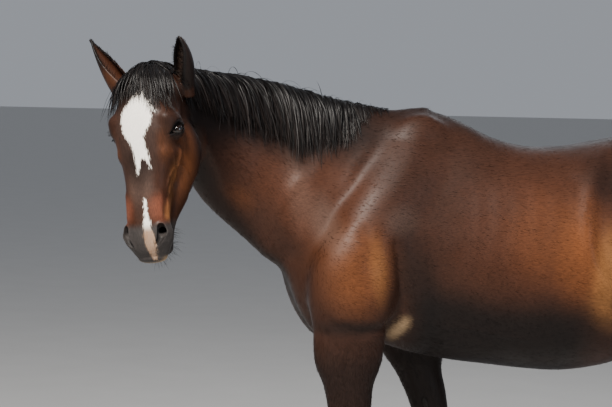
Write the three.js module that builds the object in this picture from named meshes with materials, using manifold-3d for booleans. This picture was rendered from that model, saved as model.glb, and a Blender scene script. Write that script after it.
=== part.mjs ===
// A standing horse, life size, as a still model: millimetres, +Z up, facing -X, its left side towards -Y.
// The flesh is one smooth field drawn with the neck straight. Each node is a closed surface taken from that
// field, trimmed by planes 0.3 mm apart, and the neck and head are then bent to the left as one.
import * as THREE from "three";
import { mergeVertices } from "three/addons/utils/BufferGeometryUtils.js";
import Module from "manifold-3d";

const wasm = await Module();
wasm.setup();

// ---- Driving dimensions ----
const GAP = 0.3; // between touching nodes
const HAIR_LIFT = 10; // height of a hair mass's inner face over the flesh
const CLEARANCE = 3; // between an ear and the flesh it stands on
const EYE_RADIUS = 22;
const EYE = { along: 168, deep: 65, side: 91 }; // centre of the left eyeball, in head measures
const HEAD = { x: -985, z: 1753, pitch: 14 }; // poll, and the face's lean from upright, neck straight
const EAR = { side: 106, length: 160, wall: 6 };
const HOOF_HEIGHT = 86;
// The bend's fan of lines: its apex, the first and last line's angle, the turn about each, and the slide.
const NECK_BEND = {
  x: -600,
  z: 900,
  from: 66,
  to: 99,
  turn: 51.9,
  roll: 10.2,
  nod: -9.1,
  shift: [27, -25, 4],
};
const BEND_STEPS = 96;
const NEAR_FORELEG_FORWARD = 133; // the left foreleg stands this far ahead of square
const FAR_FORELEG_BACK = 128; // the right elbow is this far behind square
const FAR_FORELEG_SLANT = 0.28; // and the right foreleg slants back by this much per unit of height
// Sizes of a facet along x, y and z.
const CELL = {
  trunk: [84, 62, 74],
  neck: [56, 37, 52],
  head: [28, 27, 28.5],
  upper: [38, 37, 62],
  lower: [24, 24, 56],
};

const radians = THREE.MathUtils.degToRad;
const clamp01 = (t) => Math.min(1, Math.max(0, t));
const smoothStep = (t) => clamp01(t) ** 2 * (3 - 2 * clamp01(t));

// ---- Fields: negative inside, about millimetres near the surface ----
function smoothMin(a, b, k) {
  const h = Math.max(k - Math.abs(a - b), 0) / k;
  return Math.min(a, b) - (h * h * k) / 4;
}

const smoothMax = (a, b, k) => -smoothMin(-a, -b, k);

// A section of a loft, from its upper (or front) edge point to its lower (or rear) one in the x-z plane.
// half is its half width across y, y its centre, widest where along it the width lies, and up and down
// are the roundness of its two halves: 2 is an ellipse, less is a ridge, more is boxy.
function section(top, bottom, half, more = {}) {
  const s = { y: 0, widest: 0.5, up: 2, down: 2, ...more };
  return [...top, ...bottom, half, s.y, s.widest, s.up, s.down];
}

// Sections between the given ones on a Catmull-Rom curve, so that a loft has no creases.
function refine(sections, steps = 3) {
  const out = [];
  const last = sections.length - 1;
  for (let i = 0; i < last; i++) {
    const [a, b, c, d] = [Math.max(i - 1, 0), i, i + 1, Math.min(i + 2, last)].map((j) => sections[j]);
    for (let s = 0; s < steps; s++) {
      const t = s / steps;
      out.push(
        b.map((v, k) => {
          const [p, q, r] = [a[k], c[k], d[k]];
          return v + 0.5 * t * (q - p + t * (2 * p - 5 * v + 4 * q - r + t * (3 * (v - q) + r - p)));
        }),
      );
    }
  }
  out.push(sections[last]);
  return out;
}

// The field of a loft through the sections, closed by rounded ends of the given lengths.
function loft(sections, startCap, endCap) {
  const rings = refine(sections).map(([tx, tz, bx, bz, half, y, widest, up, down]) => {
    const depth = Math.hypot(tx - bx, tz - bz);
    const n = [(tx - bx) / depth, (tz - bz) / depth];
    const c = [tx + (bx - tx) * widest, tz + (bz - tz) * widest];
    const [above, below] = [depth * widest, depth * (1 - widest)];
    return { c, n, t: [-n[1], n[0]], above, below, half, y, up, down };
  });
  const lastRing = rings.length - 1;
  const [first, end] = [rings[0], rings[lastRing]];
  const forward = (end.c[0] - first.c[0]) * first.t[0] + (end.c[1] - first.c[1]) * first.t[1];
  if (forward < 0) rings.forEach((r) => (r.t = [-r.t[0], -r.t[1]]));
  const ahead = (r, x, z) => (x - r.c[0]) * r.t[0] + (z - r.c[1]) * r.t[1];
  return (x, y, z) => {
    let before = ahead(first, x, z);
    let [i, t, beyond, cap] = [0, 0, 0, startCap];
    if (before < 0) beyond = -before;
    else {
      let after = before;
      for (i = 0; i < lastRing; i++) {
        before = after;
        after = ahead(rings[i + 1], x, z);
        if (after < 0) break;
      }
      if (i === lastRing) {
        beyond = after;
        cap = endCap;
        i--;
        t = 1;
      } else t = before / (before - after);
    }
    const [a, b] = [rings[i], rings[i + 1]];
    const mix = (p, q) => p + (q - p) * t;
    const n = [mix(a.n[0], b.n[0]), mix(a.n[1], b.n[1])];
    const u = (x - mix(a.c[0], b.c[0])) * n[0] + (z - mix(a.c[1], b.c[1])) * n[1];
    const v = y - mix(a.y, b.y);
    const reach = u > 0 ? mix(a.above, b.above) : mix(a.below, b.below);
    const power = u > 0 ? mix(a.up, b.up) : mix(a.down, b.down);
    const across = Math.abs(v) / mix(a.half, b.half);
    let q = Math.max((Math.abs(u / reach) ** power + across ** power) ** (1 / power), 1e-4);
    let distance = Math.hypot(u, v);
    if (beyond > 0) {
      q = Math.hypot(q, beyond / cap);
      distance = Math.hypot(distance, beyond);
    }
    return distance < 1 ? -mix(a.half, b.half) : distance * (1 - 1 / q);
  };
}

// The field of an ellipsoid, its first and third radii turned by an angle in the x-z plane.
function blob([cx, cy, cz], [rx, ry, rz], angle = 0) {
  const [c, s] = [Math.cos(radians(angle)), Math.sin(radians(angle))];
  return (x, y, z) => {
    const [dx, dy, dz] = [x - cx, y - cy, z - cz];
    const p = [(dx * c + dz * s) / rx, dy / ry, (dz * c - dx * s) / rz];
    const q = Math.max(Math.hypot(...p), 1e-4);
    return (q * (q - 1)) / Math.max(Math.hypot(p[0] / rx, p[1] / ry, p[2] / rz), 1e-6);
  };
}

// ---- The body's shape ----
const barrel = loft(
  [
    section([-330, 1300], [-352, 985], 125),
    section([-230, 1410], [-275, 925], 165),
    section([-130, 1530], [-165, 880], 196, { widest: 0.58, up: 1.9 }),
    section([-10, 1594], [-40, 838], 216, { widest: 0.58, up: 1.65 }),
    section([100, 1570], [90, 812], 240, { widest: 0.58, up: 1.75 }),
    section([210, 1520], [210, 797], 264, { widest: 0.54, up: 1.9 }),
    section([330, 1492], [330, 783], 284, { widest: 0.52, up: 2 }),
    section([450, 1494], [450, 775], 292, { widest: 0.52, up: 2.1 }),
    section([560, 1510], [560, 785], 290, { widest: 0.5, up: 2.1 }),
    section([660, 1530], [650, 806], 280, { widest: 0.48, up: 2.05 }),
    section([770, 1553], [740, 850], 262, { widest: 0.45 }),
    section([880, 1564], [830, 905], 250, { widest: 0.42 }),
    section([990, 1552], [930, 960], 236, { widest: 0.42 }),
    section([1090, 1518], [1050, 1010], 206, { widest: 0.45 }),
    section([1170, 1470], [1140, 1080], 160),
  ],
  60,
  70,
);
const neckShape = loft(
  [
    section([-10, 1585], [-330, 1040], 155, { widest: 0.58, up: 1.8 }),
    section([-130, 1597], [-418, 1085], 136, { widest: 0.58, up: 1.75 }),
    section([-290, 1616], [-508, 1136], 112, { widest: 0.58, up: 1.75 }),
    section([-450, 1650], [-580, 1218], 91, { widest: 0.57, up: 1.8 }),
    section([-600, 1690], [-644, 1302], 78, { widest: 0.56, up: 1.8 }),
    section([-740, 1726], [-700, 1382], 70, { widest: 0.52, up: 1.8 }),
    section([-870, 1752], [-746, 1458], 66, { widest: 0.5 }),
    section([-940, 1748], [-775, 1550], 60),
  ],
  60,
  40,
);
const scapula = loft(
  [
    section([-110, 1505], [40, 1505], 36, { y: 78 }),
    section([-180, 1400], [8, 1400], 46, { y: 124 }),
    section([-232, 1300], [-28, 1300], 54, { y: 152 }),
    section([-258, 1200], [-45, 1200], 60, { y: 166 }),
    section([-252, 1110], [-48, 1110], 66, { y: 164 }),
    section([-240, 1030], [-60, 1030], 62, { y: 152 }),
  ],
  70,
  60,
);
const armShapes = [
  scapula,
  blob([-150, 176, 1090], [118, 58, 150], 12),
  blob([-110, 172, 1000], [82, 56, 100]),
];
const breastShapes = [
  blob([-300, 118, 1080], [84, 78, 100]),
  blob([-340, 50, 1010], [66, 62, 150], 23),
];
const haunchShapes = [
  blob([930, 118, 1355], [270, 138, 180], -14),
  blob([748, 198, 1432], [78, 48, 58]),
  blob([1080, 120, 1270], [150, 105, 220], 10),
];
const foreleg = loft(
  [
    section([-235, 1150], [-62, 1170], 66, { y: 152 }),
    section([-250, 1030], [-38, 1040], 74, { y: 158 }),
    section([-247, 930], [-22, 950], 70, { y: 158 }),
    section([-240, 830], [-26, 836], 63, { y: 155 }),
    section([-211, 760], [-50, 762], 55, { y: 152 }),
    section([-194, 690], [-55, 690], 49, { y: 148 }),
    section([-183, 600], [-66, 600], 43, { y: 146 }),
    section([-176, 535], [-70, 535], 44, { y: 144 }),
    section([-184, 490], [-72, 492], 49, { y: 143, up: 2.6, down: 2.4 }),
    section([-172, 440], [-78, 440], 41, { y: 142 }),
    section([-155, 385], [-86, 385], 27, { y: 142 }),
    section([-152, 300], [-84, 300], 25, { y: 142 }),
    section([-156, 250], [-78, 252], 29, { y: 142 }),
    section([-168, 215], [-74, 212], 35, { y: 142 }),
    section([-190, 162], [-112, 150], 30, { y: 142 }),
    section([-214, 112], [-118, 84], 40, { y: 142 }),
    section([-226, 80], [-110, 60], 46, { y: 142 }),
  ],
  60,
  20,
);
const hindleg = loft(
  [
    section([790, 1430], [1150, 1450], 104, { y: 138 }),
    section([778, 1280], [1236, 1340], 118, { y: 138, widest: 0.45 }),
    section([778, 1130], [1240, 1210], 118, { y: 140, widest: 0.45 }),
    section([808, 1000], [1205, 1085], 106, { y: 142, widest: 0.45 }),
    section([862, 905], [1158, 965], 84, { y: 140 }),
    section([935, 815], [1136, 845], 62, { y: 136 }),
    section([1020, 710], [1172, 752], 46, { y: 132 }),
    section([1085, 628], [1272, 690], 40, { y: 130 }),
    section([1118, 565], [1290, 612], 44, { y: 130 }),
    section([1140, 510], [1262, 520], 41, { y: 130 }),
    section([1162, 455], [1246, 458], 33, { y: 130 }),
    section([1174, 380], [1243, 380], 27, { y: 130 }),
    section([1176, 300], [1246, 300], 26, { y: 130 }),
    section([1172, 252], [1256, 254], 31, { y: 130 }),
    section([1162, 217], [1262, 212], 36, { y: 130 }),
    section([1140, 162], [1222, 150], 31, { y: 130 }),
    section([1114, 112], [1212, 84], 40, { y: 130 }),
    section([1102, 80], [1218, 60], 46, { y: 130 }),
  ],
  60,
  20,
);

// ---- The head, in measures along the face from the poll and deep behind the face line ----
const facing = [Math.sin(radians(HEAD.pitch)), Math.cos(radians(HEAD.pitch))];
const headPoint = (along, deep) => [
  HEAD.x - facing[0] * along + facing[1] * deep,
  HEAD.z - facing[1] * along - facing[0] * deep,
];
const headSection = (along, front, rear, half, more) =>
  section(headPoint(along, front), headPoint(along, rear), half, more);
const headBlob = (along, deep, side, radii, angle = 0) => {
  const [x, z] = headPoint(along, deep);
  return blob([x, side, z], radii, angle - HEAD.pitch);
};
const skull = loft(
  [
    headSection(-4, 48, 140, 56),
    headSection(28, 16, 165, 70, { up: 2.2 }),
    headSection(70, 0, 170, 84, { up: 2.5 }),
    headSection(115, -6, 168, 93, { up: 2.7, widest: 0.42 }),
    headSection(165, -7, 160, 98, { up: 2.7, widest: 0.4 }),
    headSection(208, -5, 152, 90, { up: 2.5, widest: 0.42 }),
    headSection(255, 0, 142, 79, { up: 2.4, widest: 0.45 }),
    headSection(305, 2, 130, 70, { up: 2.4 }),
    headSection(355, 2, 118, 65, { up: 2.4 }),
    headSection(400, 1, 108, 62, { up: 2.4 }),
    headSection(438, 1, 104, 65, { up: 2.2 }),
    headSection(474, 7, 102, 69, { up: 2.1 }),
    headSection(504, 20, 96, 58, { up: 2.1 }),
    headSection(524, 38, 90, 46),
  ],
  24,
  16,
);
const jaw = loft(
  [
    headSection(70, 85, 205, 56, { down: 1.9 }),
    headSection(120, 80, 243, 70, { down: 1.8 }),
    headSection(170, 75, 266, 78, { down: 1.7 }),
    headSection(220, 75, 268, 82, { widest: 0.5, down: 1.6 }),
    headSection(268, 78, 266, 83, { widest: 0.5, down: 1.6 }),
    headSection(312, 80, 254, 78, { widest: 0.5, down: 1.7 }),
    headSection(362, 80, 216, 61, { down: 1.8 }),
    headSection(415, 78, 164, 47),
    headSection(462, 76, 137, 43),
    headSection(497, 78, 130, 40),
  ],
  30,
  20,
);
const faceShapes = [
  headBlob(154, 60, 87, [44, 24, 32]), // orbit
  headBlob(133, 40, 84, [32, 22, 20]), // brow
  headBlob(232, 92, 68, [70, 18, 22]), // facial crest
  headBlob(222, 170, 60, [76, 36, 84]), // cheek muscle
  headBlob(462, 46, 52, [24, 21, 30]), // nostril
  headBlob(492, 112, 0, [26, 32, 24]), // chin
  headBlob(38, 96, 70, [38, 34, 36]), // root of the ear
];

// The field of a chain of round-ended tapers, its balls given along, deep, to the side and by radius.
function taper(chain) {
  const balls = chain.map(([along, deep, side, radius]) => {
    const [x, z] = headPoint(along, deep);
    return { at: new THREE.Vector3(x, side, z), radius };
  });
  return (x, y, z) => {
    const gaps = balls.slice(1).map((b, i) => {
      const a = balls[i];
      const span = b.at.clone().sub(a.at);
      const offset = new THREE.Vector3(x, y, z).sub(a.at);
      const t = Math.min(Math.max(offset.dot(span) / span.lengthSq(), 0), 1);
      return offset.addScaledVector(span, -t).length() - a.radius - (b.radius - a.radius) * t;
    });
    return Math.min(...gaps);
  };
}
const NOSTRIL = [
  [443, 18, 57, 10.5],
  [458, 18, 59, 13],
  [475, 19, 52, 9.5],
  [491, 20, 41, 5],
];
const WING = { deeper: 10, inwards: 4, thick: 6 };
const nostril = taper(NOSTRIL);
const nostrilWing = taper(
  NOSTRIL.map(([along, deep, side, radius]) => [
    along,
    deep + WING.deeper,
    side - WING.inwards,
    radius + WING.thick,
  ]),
);

// ---- The whole field ----
function limbShift(side, z) {
  const swung = smoothStep((1500 - z) / 560);
  const near = -NEAR_FORELEG_FORWARD * swung;
  const slant = FAR_FORELEG_SLANT * Math.max(0, 930 - z);
  const far = FAR_FORELEG_BACK * swung + slant;
  return near + (far - near) * smoothStep(0.5 + side / 120);
}

const joinAll = (start, fields, k, x, y, z) => fields.reduce((f, g) => smoothMin(f, g(x, y, z), k), start);

function bodyField(x, y, z) {
  const side = Math.abs(y);
  let f = smoothMin(barrel(x, y, z), neckShape(x, y, z), 70);
  if (x < 420) {
    const square = x - limbShift(y, z);
    f = joinAll(f, breastShapes, 60, x, side, z);
    f = joinAll(f, armShapes, 60, square, side, z);
    f = smoothMin(f, foreleg(square, side, z), 45);
  }
  if (x > 480) {
    f = joinAll(f, haunchShapes, 70, x, side, z);
    f = smoothMin(f, hindleg(x, side, z), 60);
  }
  return f;
}

function headField(x, y, z) {
  const side = Math.abs(y);
  let f = smoothMin(skull(x, y, z), jaw(x, y, z), 22);
  f = joinAll(f, faceShapes, 20, x, side, z);
  const [px, pz] = headPoint(450, 30);
  if (Math.hypot(x - px, side - 55, z - pz) > 110) return f;
  f = smoothMin(f, nostrilWing(x, side, z), 10);
  return smoothMax(f, -nostril(x, side, z), 4);
}

function flesh(x, y, z) {
  const body = bodyField(x, y, z);
  return x > -480 ? body : smoothMin(body, headField(x, y, z), 34);
}

// ---- Closed surfaces from a field ----
function gradient(field, x, y, z, h = 0.5) {
  const g = [
    field(x + h, y, z) - field(x - h, y, z),
    field(x, y + h, z) - field(x, y - h, z),
    field(x, y, z + h) - field(x, y, z - h),
  ];
  return g.map((v) => v / (2 * h));
}

// Moves a point along the field's slope to the surface.
function settle(field, point) {
  const p = [...point];
  for (let pass = 0; pass < 4; pass++) {
    const f = field(...p);
    const g = gradient(field, ...p);
    const slope = Math.max(g[0] ** 2 + g[1] ** 2 + g[2] ** 2, 0.05);
    p.forEach((v, k) => (p[k] = v - (f * g[k]) / slope));
  }
  return p;
}

function insideBox(low, high) {
  return (x, y, z) =>
    Math.max(low[0] - x, x - high[0], low[1] - y, y - high[1], low[2] - z, z - high[2]);
}

// Where the corners of a grid square lie inside and outside by turns, the one nearest the surface changes
// side, so that the surface never touches itself along an edge.
function untie(values, first, stepA, stepB) {
  const square = [first, first + stepA, first + stepA + stepB, first + stepB];
  const inside = square.map((i) => values[i] < 0);
  if (inside[0] !== inside[2] || inside[1] !== inside[3] || inside[0] === inside[1]) return;
  const nearest = square.reduce((a, b) => (Math.abs(values[b]) < Math.abs(values[a]) ? b : a));
  values[nearest] = values[nearest] < 0 ? 0.01 : -0.01;
}

// A closed surface of the field inside a box, one vertex in each grid cell that the surface crosses.
function surface(field, low, high, cell) {
  const size = Array.isArray(cell) ? cell : [cell, cell, cell];
  const box = insideBox(low, high);
  const clipped = (x, y, z) => Math.max(field(x, y, z), box(x, y, z));
  const start = low.map((v, k) => v - 1.37 * size[k]);
  const count = high.map((v, k) => Math.ceil((v - start[k]) / size[k]) + 3);
  const at = (i, j, k) => (k * count[1] + j) * count[0] + i;
  const place = (i, j, k) => [start[0] + i * size[0], start[1] + j * size[1], start[2] + k * size[2]];
  const values = new Float64Array(count[0] * count[1] * count[2]);
  const everyCell = (visit, less) => {
    for (let k = 0; k < count[2] - less; k++)
      for (let j = 0; j < count[1] - less; j++) for (let i = 0; i < count[0] - less; i++) visit(i, j, k);
  };
  everyCell((i, j, k) => (values[at(i, j, k)] = clipped(...place(i, j, k))), 0);
  const strides = [at(1, 0, 0), at(0, 1, 0), at(0, 0, 1)];
  for (let pass = 0; pass < 4; pass++)
    everyCell((i, j, k) => {
      strides.forEach((s, d) => untie(values, at(i, j, k), s, strides[(d + 1) % 3]));
    }, 1);
  const corner = [0, 1, 2, 3, 4, 5, 6, 7].map((c) => [c & 1, (c >> 1) & 1, c >> 2]);
  const edges = [];
  corner.forEach((a, i) =>
    corner.forEach((b, j) => {
      const apart = Math.abs(a[0] - b[0]) + Math.abs(a[1] - b[1]) + Math.abs(a[2] - b[2]);
      if (i < j && apart === 1) edges.push([a, b]);
    }),
  );
  const vertex = new Map();
  const points = [];
  const rim = 0.06; // a vertex stays this share of a cell inside its own cell
  everyCell((i, j, k) => {
    const sum = [0, 0, 0];
    let crossings = 0;
    for (const [a, b] of edges) {
      const va = values[at(i + a[0], j + a[1], k + a[2])];
      const vb = values[at(i + b[0], j + b[1], k + b[2])];
      if (va < 0 === vb < 0) continue;
      const t = va / (va - vb);
      sum.forEach((_, d) => (sum[d] += a[d] + (b[d] - a[d]) * t));
      crossings++;
    }
    if (!crossings) return;
    const middle = place(...sum.map((v, d) => [i, j, k][d] + v / crossings));
    const [near, far] = [place(i + rim, j + rim, k + rim), place(i + 1 - rim, j + 1 - rim, k + 1 - rim)];
    const settled = box(...middle) > -0.5 * size[0] ? middle : settle(field, middle);
    vertex.set(at(i, j, k), points.length);
    points.push(settled.map((v, d) => Math.min(Math.max(v, near[d]), far[d])));
  }, 1);
  const triangles = [];
  const diagonals = new Set(); // two quads never share one, so every edge keeps two faces
  const quad = (a, b, c, d, flip) => {
    const q = flip ? [d, c, b, a] : [a, b, c, d];
    const span = (m, n) => Math.hypot(...points[q[m]].map((v, e) => v - points[q[n]][e]));
    const key = (m, n) => Math.min(q[m], q[n]) * points.length + Math.max(q[m], q[n]);
    const otherIsShorter = !diagonals.has(key(1, 3)) && span(1, 3) < span(0, 2);
    const first = diagonals.has(key(0, 2)) || otherIsShorter ? 1 : 0;
    diagonals.add(key(first, first + 2));
    const [k, l, m, n] = [q[first], q[first + 1], q[first + 2], q[(first + 3) % 4]];
    triangles.push(k, l, m, k, m, n);
  };
  everyCell((i, j, k) => {
    const here = values[at(i, j, k)] < 0;
    const cellAt = (di, dj, dk) => vertex.get(at(i + di, j + dj, k + dk));
    if (j && k && here !== values[at(i + 1, j, k)] < 0)
      quad(cellAt(0, -1, -1), cellAt(0, 0, -1), cellAt(0, 0, 0), cellAt(0, -1, 0), !here);
    if (i && k && here !== values[at(i, j + 1, k)] < 0)
      quad(cellAt(-1, 0, -1), cellAt(-1, 0, 0), cellAt(0, 0, 0), cellAt(0, 0, -1), !here);
    if (i && j && here !== values[at(i, j, k + 1)] < 0)
      quad(cellAt(-1, -1, 0), cellAt(0, -1, 0), cellAt(0, 0, 0), cellAt(-1, 0, 0), !here);
  }, 1);
  return solid(points.flat(), triangles);
}

// ---- Solids ----
const solid = (positions, triangles) =>
  new wasm.Manifold(
    new wasm.Mesh({
      numProp: 3,
      vertProperties: new Float32Array(positions),
      triVerts: new Uint32Array(triangles),
    }),
  );

function solidOf(geometry) {
  const bare = geometry.index ? geometry.toNonIndexed() : geometry.clone();
  bare.deleteAttribute("normal");
  bare.deleteAttribute("uv");
  const merged = mergeVertices(bare, 1e-4);
  return solid(merged.attributes.position.array, merged.index.array);
}

// All that lies behind a plane, as a big block: the normal points away from it.
function behind(point, normal, offset = 0) {
  const reach = 6000;
  const n = new THREE.Vector3(...normal).normalize();
  const geometry = new THREE.BoxGeometry(reach, reach, reach).translate(0, 0, -reach / 2 + offset);
  geometry.applyQuaternion(new THREE.Quaternion().setFromUnitVectors(new THREE.Vector3(0, 0, 1), n));
  return solidOf(geometry.translate(...point));
}

const ahead = (point, normal, offset = 0) => behind(point, normal.map((v) => -v), offset);
const common = (...parts) => parts.reduce((a, b) => a.intersect(b));
const largest = (s) => s.decompose().reduce((a, b) => (b.volume() > a.volume() ? b : a));

// ---- Where the nodes are parted ----
const SHOULDER_CUT = { point: [-130, 0, 1600], normal: [-0.928, 0, 0.372] };
const BREAST_CUT = { point: [-375, 0, 1115], normal: [-0.25, 0, 0.97] };
// The poll is cut from behind the ears to behind the jaw.
const [POLL_TOP, POLL_FOOT] = [headPoint(-20, 92), headPoint(205, 292)];
const POLL_CUT = {
  point: [POLL_TOP[0], 0, POLL_TOP[1]],
  normal: [POLL_FOOT[1] - POLL_TOP[1], 0, POLL_TOP[0] - POLL_FOOT[0]],
};

function neckSpace(grow) {
  const aboveShoulder = ahead(SHOULDER_CUT.point, SHOULDER_CUT.normal, grow);
  return aboveShoulder.intersect(ahead(BREAST_CUT.point, BREAST_CUT.normal, grow));
}

// A leg's root plane rises inwards by splay and backwards by rise, inner is how far from the midplane it
// starts, edge a point of the plane before (or behind) it, and joint and coronet are where it is parted.
const FORE = {
  root: [-160, 868],
  rise: -0.22,
  splay: 0.6,
  inner: 66,
  edge: (side) => [side < 0 ? -110 : 150, 0, 900],
  edgeNormal: [1, 0, 0.25],
  joint: 438,
  coronet: { x: -168, z: HOOF_HEIGHT, normal: [-0.2, 0, 0.98] },
  hoof: { x: -170, y: 142 },
  low: (side) => [side < 0 ? -430 : -260, 0, 0],
  high: (side) => [side < 0 ? -60 : 380, 300, 1180],
  shift: (side) => limbShift(side * 142, HOOF_HEIGHT),
};
const HIND = {
  root: [900, 900],
  rise: 0.1,
  splay: 0.75,
  inner: GAP / 2,
  edge: () => [740, 0, 850],
  edgeNormal: [-0.968, 0, 0.25],
  joint: 470,
  coronet: { x: 1160, z: HOOF_HEIGHT, normal: [-0.2, 0, 0.98] },
  hoof: { x: 1160, y: 130 },
  low: () => [700, -30, 0],
  high: () => [1330, 320, 1180],
  shift: () => 0,
};

// The space that holds one upper leg, grown by a gap where it is taken out of the trunk.
function legSpace(leg, side, grow) {
  return common(
    behind([leg.root[0], 0, leg.root[1]], [-leg.rise, -side * leg.splay, 1], grow),
    behind([0, side * (leg.inner - grow), 0], [0, -side, 0]),
    behind(leg.edge(side), leg.edgeNormal, grow),
  );
}

// ---- Hooves: rings from the flat sole up to the coronet ----
function rings(outlines) {
  const n = outlines[0].length;
  const positions = outlines.flat(2);
  const triangles = [];
  outlines.slice(1).forEach((_, r) => {
    for (let i = 0; i < n; i++) {
      const [a, b] = [r * n + i, r * n + ((i + 1) % n)];
      triangles.push(a, b, b + n, a, b + n, a + n);
    }
  });
  const cap = (ring, flip) => {
    const middle = positions.length / 3;
    const sum = [0, 1, 2].map((d) => ring.points.reduce((v, p) => v + p[d], 0) / n);
    positions.push(...sum);
    for (let i = 0; i < n; i++) {
      const [a, b] = [ring.first + i, ring.first + ((i + 1) % n)];
      triangles.push(middle, ...(flip ? [b, a] : [a, b]));
    }
  };
  cap({ points: outlines[0], first: 0 }, true);
  cap({ points: outlines.at(-1), first: (outlines.length - 1) * n }, false);
  return solid(positions, triangles);
}

const coronetAt = (leg, side) => [leg.coronet.x + leg.shift(side), 0, leg.coronet.z];

// A hoof standing on z = 0: its toe leads towards -x, and its walls slope in to the coronet.
function hoofSolid(leg, side) {
  const [x, y] = [leg.hoof.x + leg.shift(side), side * leg.hoof.y];
  const levels = [
    { z: 0, toe: -78, heel: 58, half: 63 },
    { z: 30, toe: -66, heel: 60, half: 59 },
    { z: HOOF_HEIGHT + 24, toe: -36, heel: 62, half: 46 },
  ];
  const outline = ({ z, toe, heel, half }) =>
    Array.from({ length: 14 }, (_, i) => {
      const a = (i / 14) * 2 * Math.PI;
      const along = Math.cos(a) > 0 ? heel * Math.cos(a) ** 0.8 : toe * Math.abs(Math.cos(a));
      return [x + along, y + half * Math.sin(a), z];
    });
  return rings(levels.map(outline)).intersect(behind(coronetAt(leg, side), leg.coronet.normal, -GAP));
}

// ---- Ears: a leaf curled into a trumpet, open at the front ----
// It tilts back, leans outwards and turns about its own length, and its tip bends in.
function earSolid({ side, root, width, swell, turns, tip }) {
  const [x, z] = headPoint(...root);
  const levels = [0, 0.18, 0.38, 0.6, 0.8, 0.94, 1];
  const swollen = (h) => swell[0] + swell[1] * h + swell[2] * h * h;
  const spread = (h) => width * 0.5 * swollen(h) * Math.sqrt(1.001 - h ** 3);
  const outlines = levels.map((h) => {
    const radius = Math.max(spread(h), 5);
    const opening = radians(150 - 75 * h);
    const arc = (r, flip) =>
      Array.from({ length: 7 }, (_, i) => {
        const a = (flip ? 1 : -1) * opening * (1 - i / 3);
        return [r * Math.cos(a) - radius * 0.25 - tip * h * h, r * Math.sin(a), h * EAR.length];
      });
    return [...arc(radius, false), ...arc(radius - Math.min(EAR.wall, radius * 0.7), true)];
  });
  const place = new THREE.Matrix4()
    .makeTranslation(x, side * EAR.side, z)
    .multiply(new THREE.Matrix4().makeRotationY(radians(turns.tilt)))
    .multiply(new THREE.Matrix4().makeRotationX(radians(-side * turns.lean)))
    .multiply(new THREE.Matrix4().makeRotationZ(radians(side * turns.turn)));
  const v = new THREE.Vector3();
  const moved = outlines.map((ring) => ring.map((p) => v.set(...p).applyMatrix4(place).toArray()));
  return rings(moved);
}

// ---- Hair masses: a strip that lies on the flesh, from its root line down ----
// drops are the rows' places down the fall, from 0 at the roots to 1 at the tips.
function hairStrip({ columns, drops, rootAt, fall, lengthAt, thicknessAt }) {
  const lifted = (...q) => flesh(...q) - HAIR_LIFT;
  const inner = [];
  const outer = [];
  for (let i = 0; i <= columns; i++) {
    const s = i / columns;
    let p = rootAt(s);
    drops.forEach((drop, j) => {
      const step = (drop - (drops[j - 1] ?? 0)) * lengthAt(s);
      p = settle(lifted, p.map((v, k) => v + fall[k] * step));
      const out = new THREE.Vector3(...gradient(flesh, ...p)).setLength(thicknessAt(s, drop));
      inner.push(p);
      outer.push([p[0] + out.x, p[1] + out.y, p[2] + out.z]);
    });
  }
  const width = drops.length;
  const total = inner.length;
  const triangles = [];
  const quad = (a, b, c, d) => triangles.push(a, b, c, a, c, d);
  for (let i = 0; i < columns; i++)
    for (let j = 0; j < width - 1; j++) {
      const a = i * width + j;
      quad(a, a + width, a + width + 1, a + 1);
      quad(total + a, total + a + 1, total + a + width + 1, total + a + width);
    }
  for (let j = 0; j < width - 1; j++) {
    const b = columns * width + j;
    quad(j, j + 1, total + j + 1, total + j);
    quad(b + 1, b, total + b, total + b + 1);
  }
  for (let i = 0; i < columns; i++) {
    const a = i * width;
    const b = a + width - 1;
    quad(a + width, a, total + a, total + a + width);
    quad(b, b + width, total + b + width, total + b);
  }
  const strip = solid([...inner, ...outer].flat(), triangles);
  return strip.volume() > 0 ? strip : solid([...inner, ...outer].flat(), triangles.toReversed());
}

// ---- Bending the neck: each fan line about its own direction, a little at a time ----
const bendTable = (() => {
  const { from, to, turn, roll, nod } = NECK_BEND;
  const table = [new THREE.Matrix4()];
  for (let i = 0; i < BEND_STEPS; i++) {
    const s = (i + 0.5) / BEND_STEPS;
    const share = (6 * s * (1 - s)) / BEND_STEPS;
    const angle = radians(from + (to - from) * s);
    const axis = new THREE.Vector3(
      turn * Math.cos(angle) - roll * Math.sin(angle),
      nod,
      turn * Math.sin(angle) + roll * Math.cos(angle),
    );
    const amount = radians(axis.length() * share);
    table.push(table[i].clone().multiply(new THREE.Matrix4().makeRotationAxis(axis.normalize(), amount)));
  }
  return table;
})();

function bend(x, y, z) {
  const { from, to, shift } = NECK_BEND;
  const [dx, dz] = [x - NECK_BEND.x, z - NECK_BEND.z];
  const angle = THREE.MathUtils.radToDeg(Math.atan2(dz, dx));
  const along = dz < 0 ? (dx < 0 && x < HEAD.x ? 1 : 0) : clamp01((angle - from) / (to - from));
  if (along === 0) return [x, y, z];
  const place = Math.min(along * BEND_STEPS, BEND_STEPS - 1e-9);
  const i = Math.floor(place);
  const [a, b] = [bendTable[i], bendTable[i + 1]].map((m) => new THREE.Vector3(dx, y, dz).applyMatrix4(m));
  const p = a.lerp(b, place - i);
  const eased = smoothStep(along);
  const centre = [NECK_BEND.x, 0, NECK_BEND.z];
  return p.toArray().map((v, k) => v + centre[k] + shift[k] * eased);
}

// ---- The nodes ----
const materials = {
  coat: { color: 0x3a1d12, roughness: 0.45 },
  darkCoat: { color: 0x15100e, roughness: 0.5 },
  hair: { color: 0x0b0a0b, roughness: 0.55 },
  hoof: { color: 0x2a2523, roughness: 0.6 },
  eye: { color: 0x0a0605, roughness: 0.08 },
};
const horse = new THREE.Group();

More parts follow.
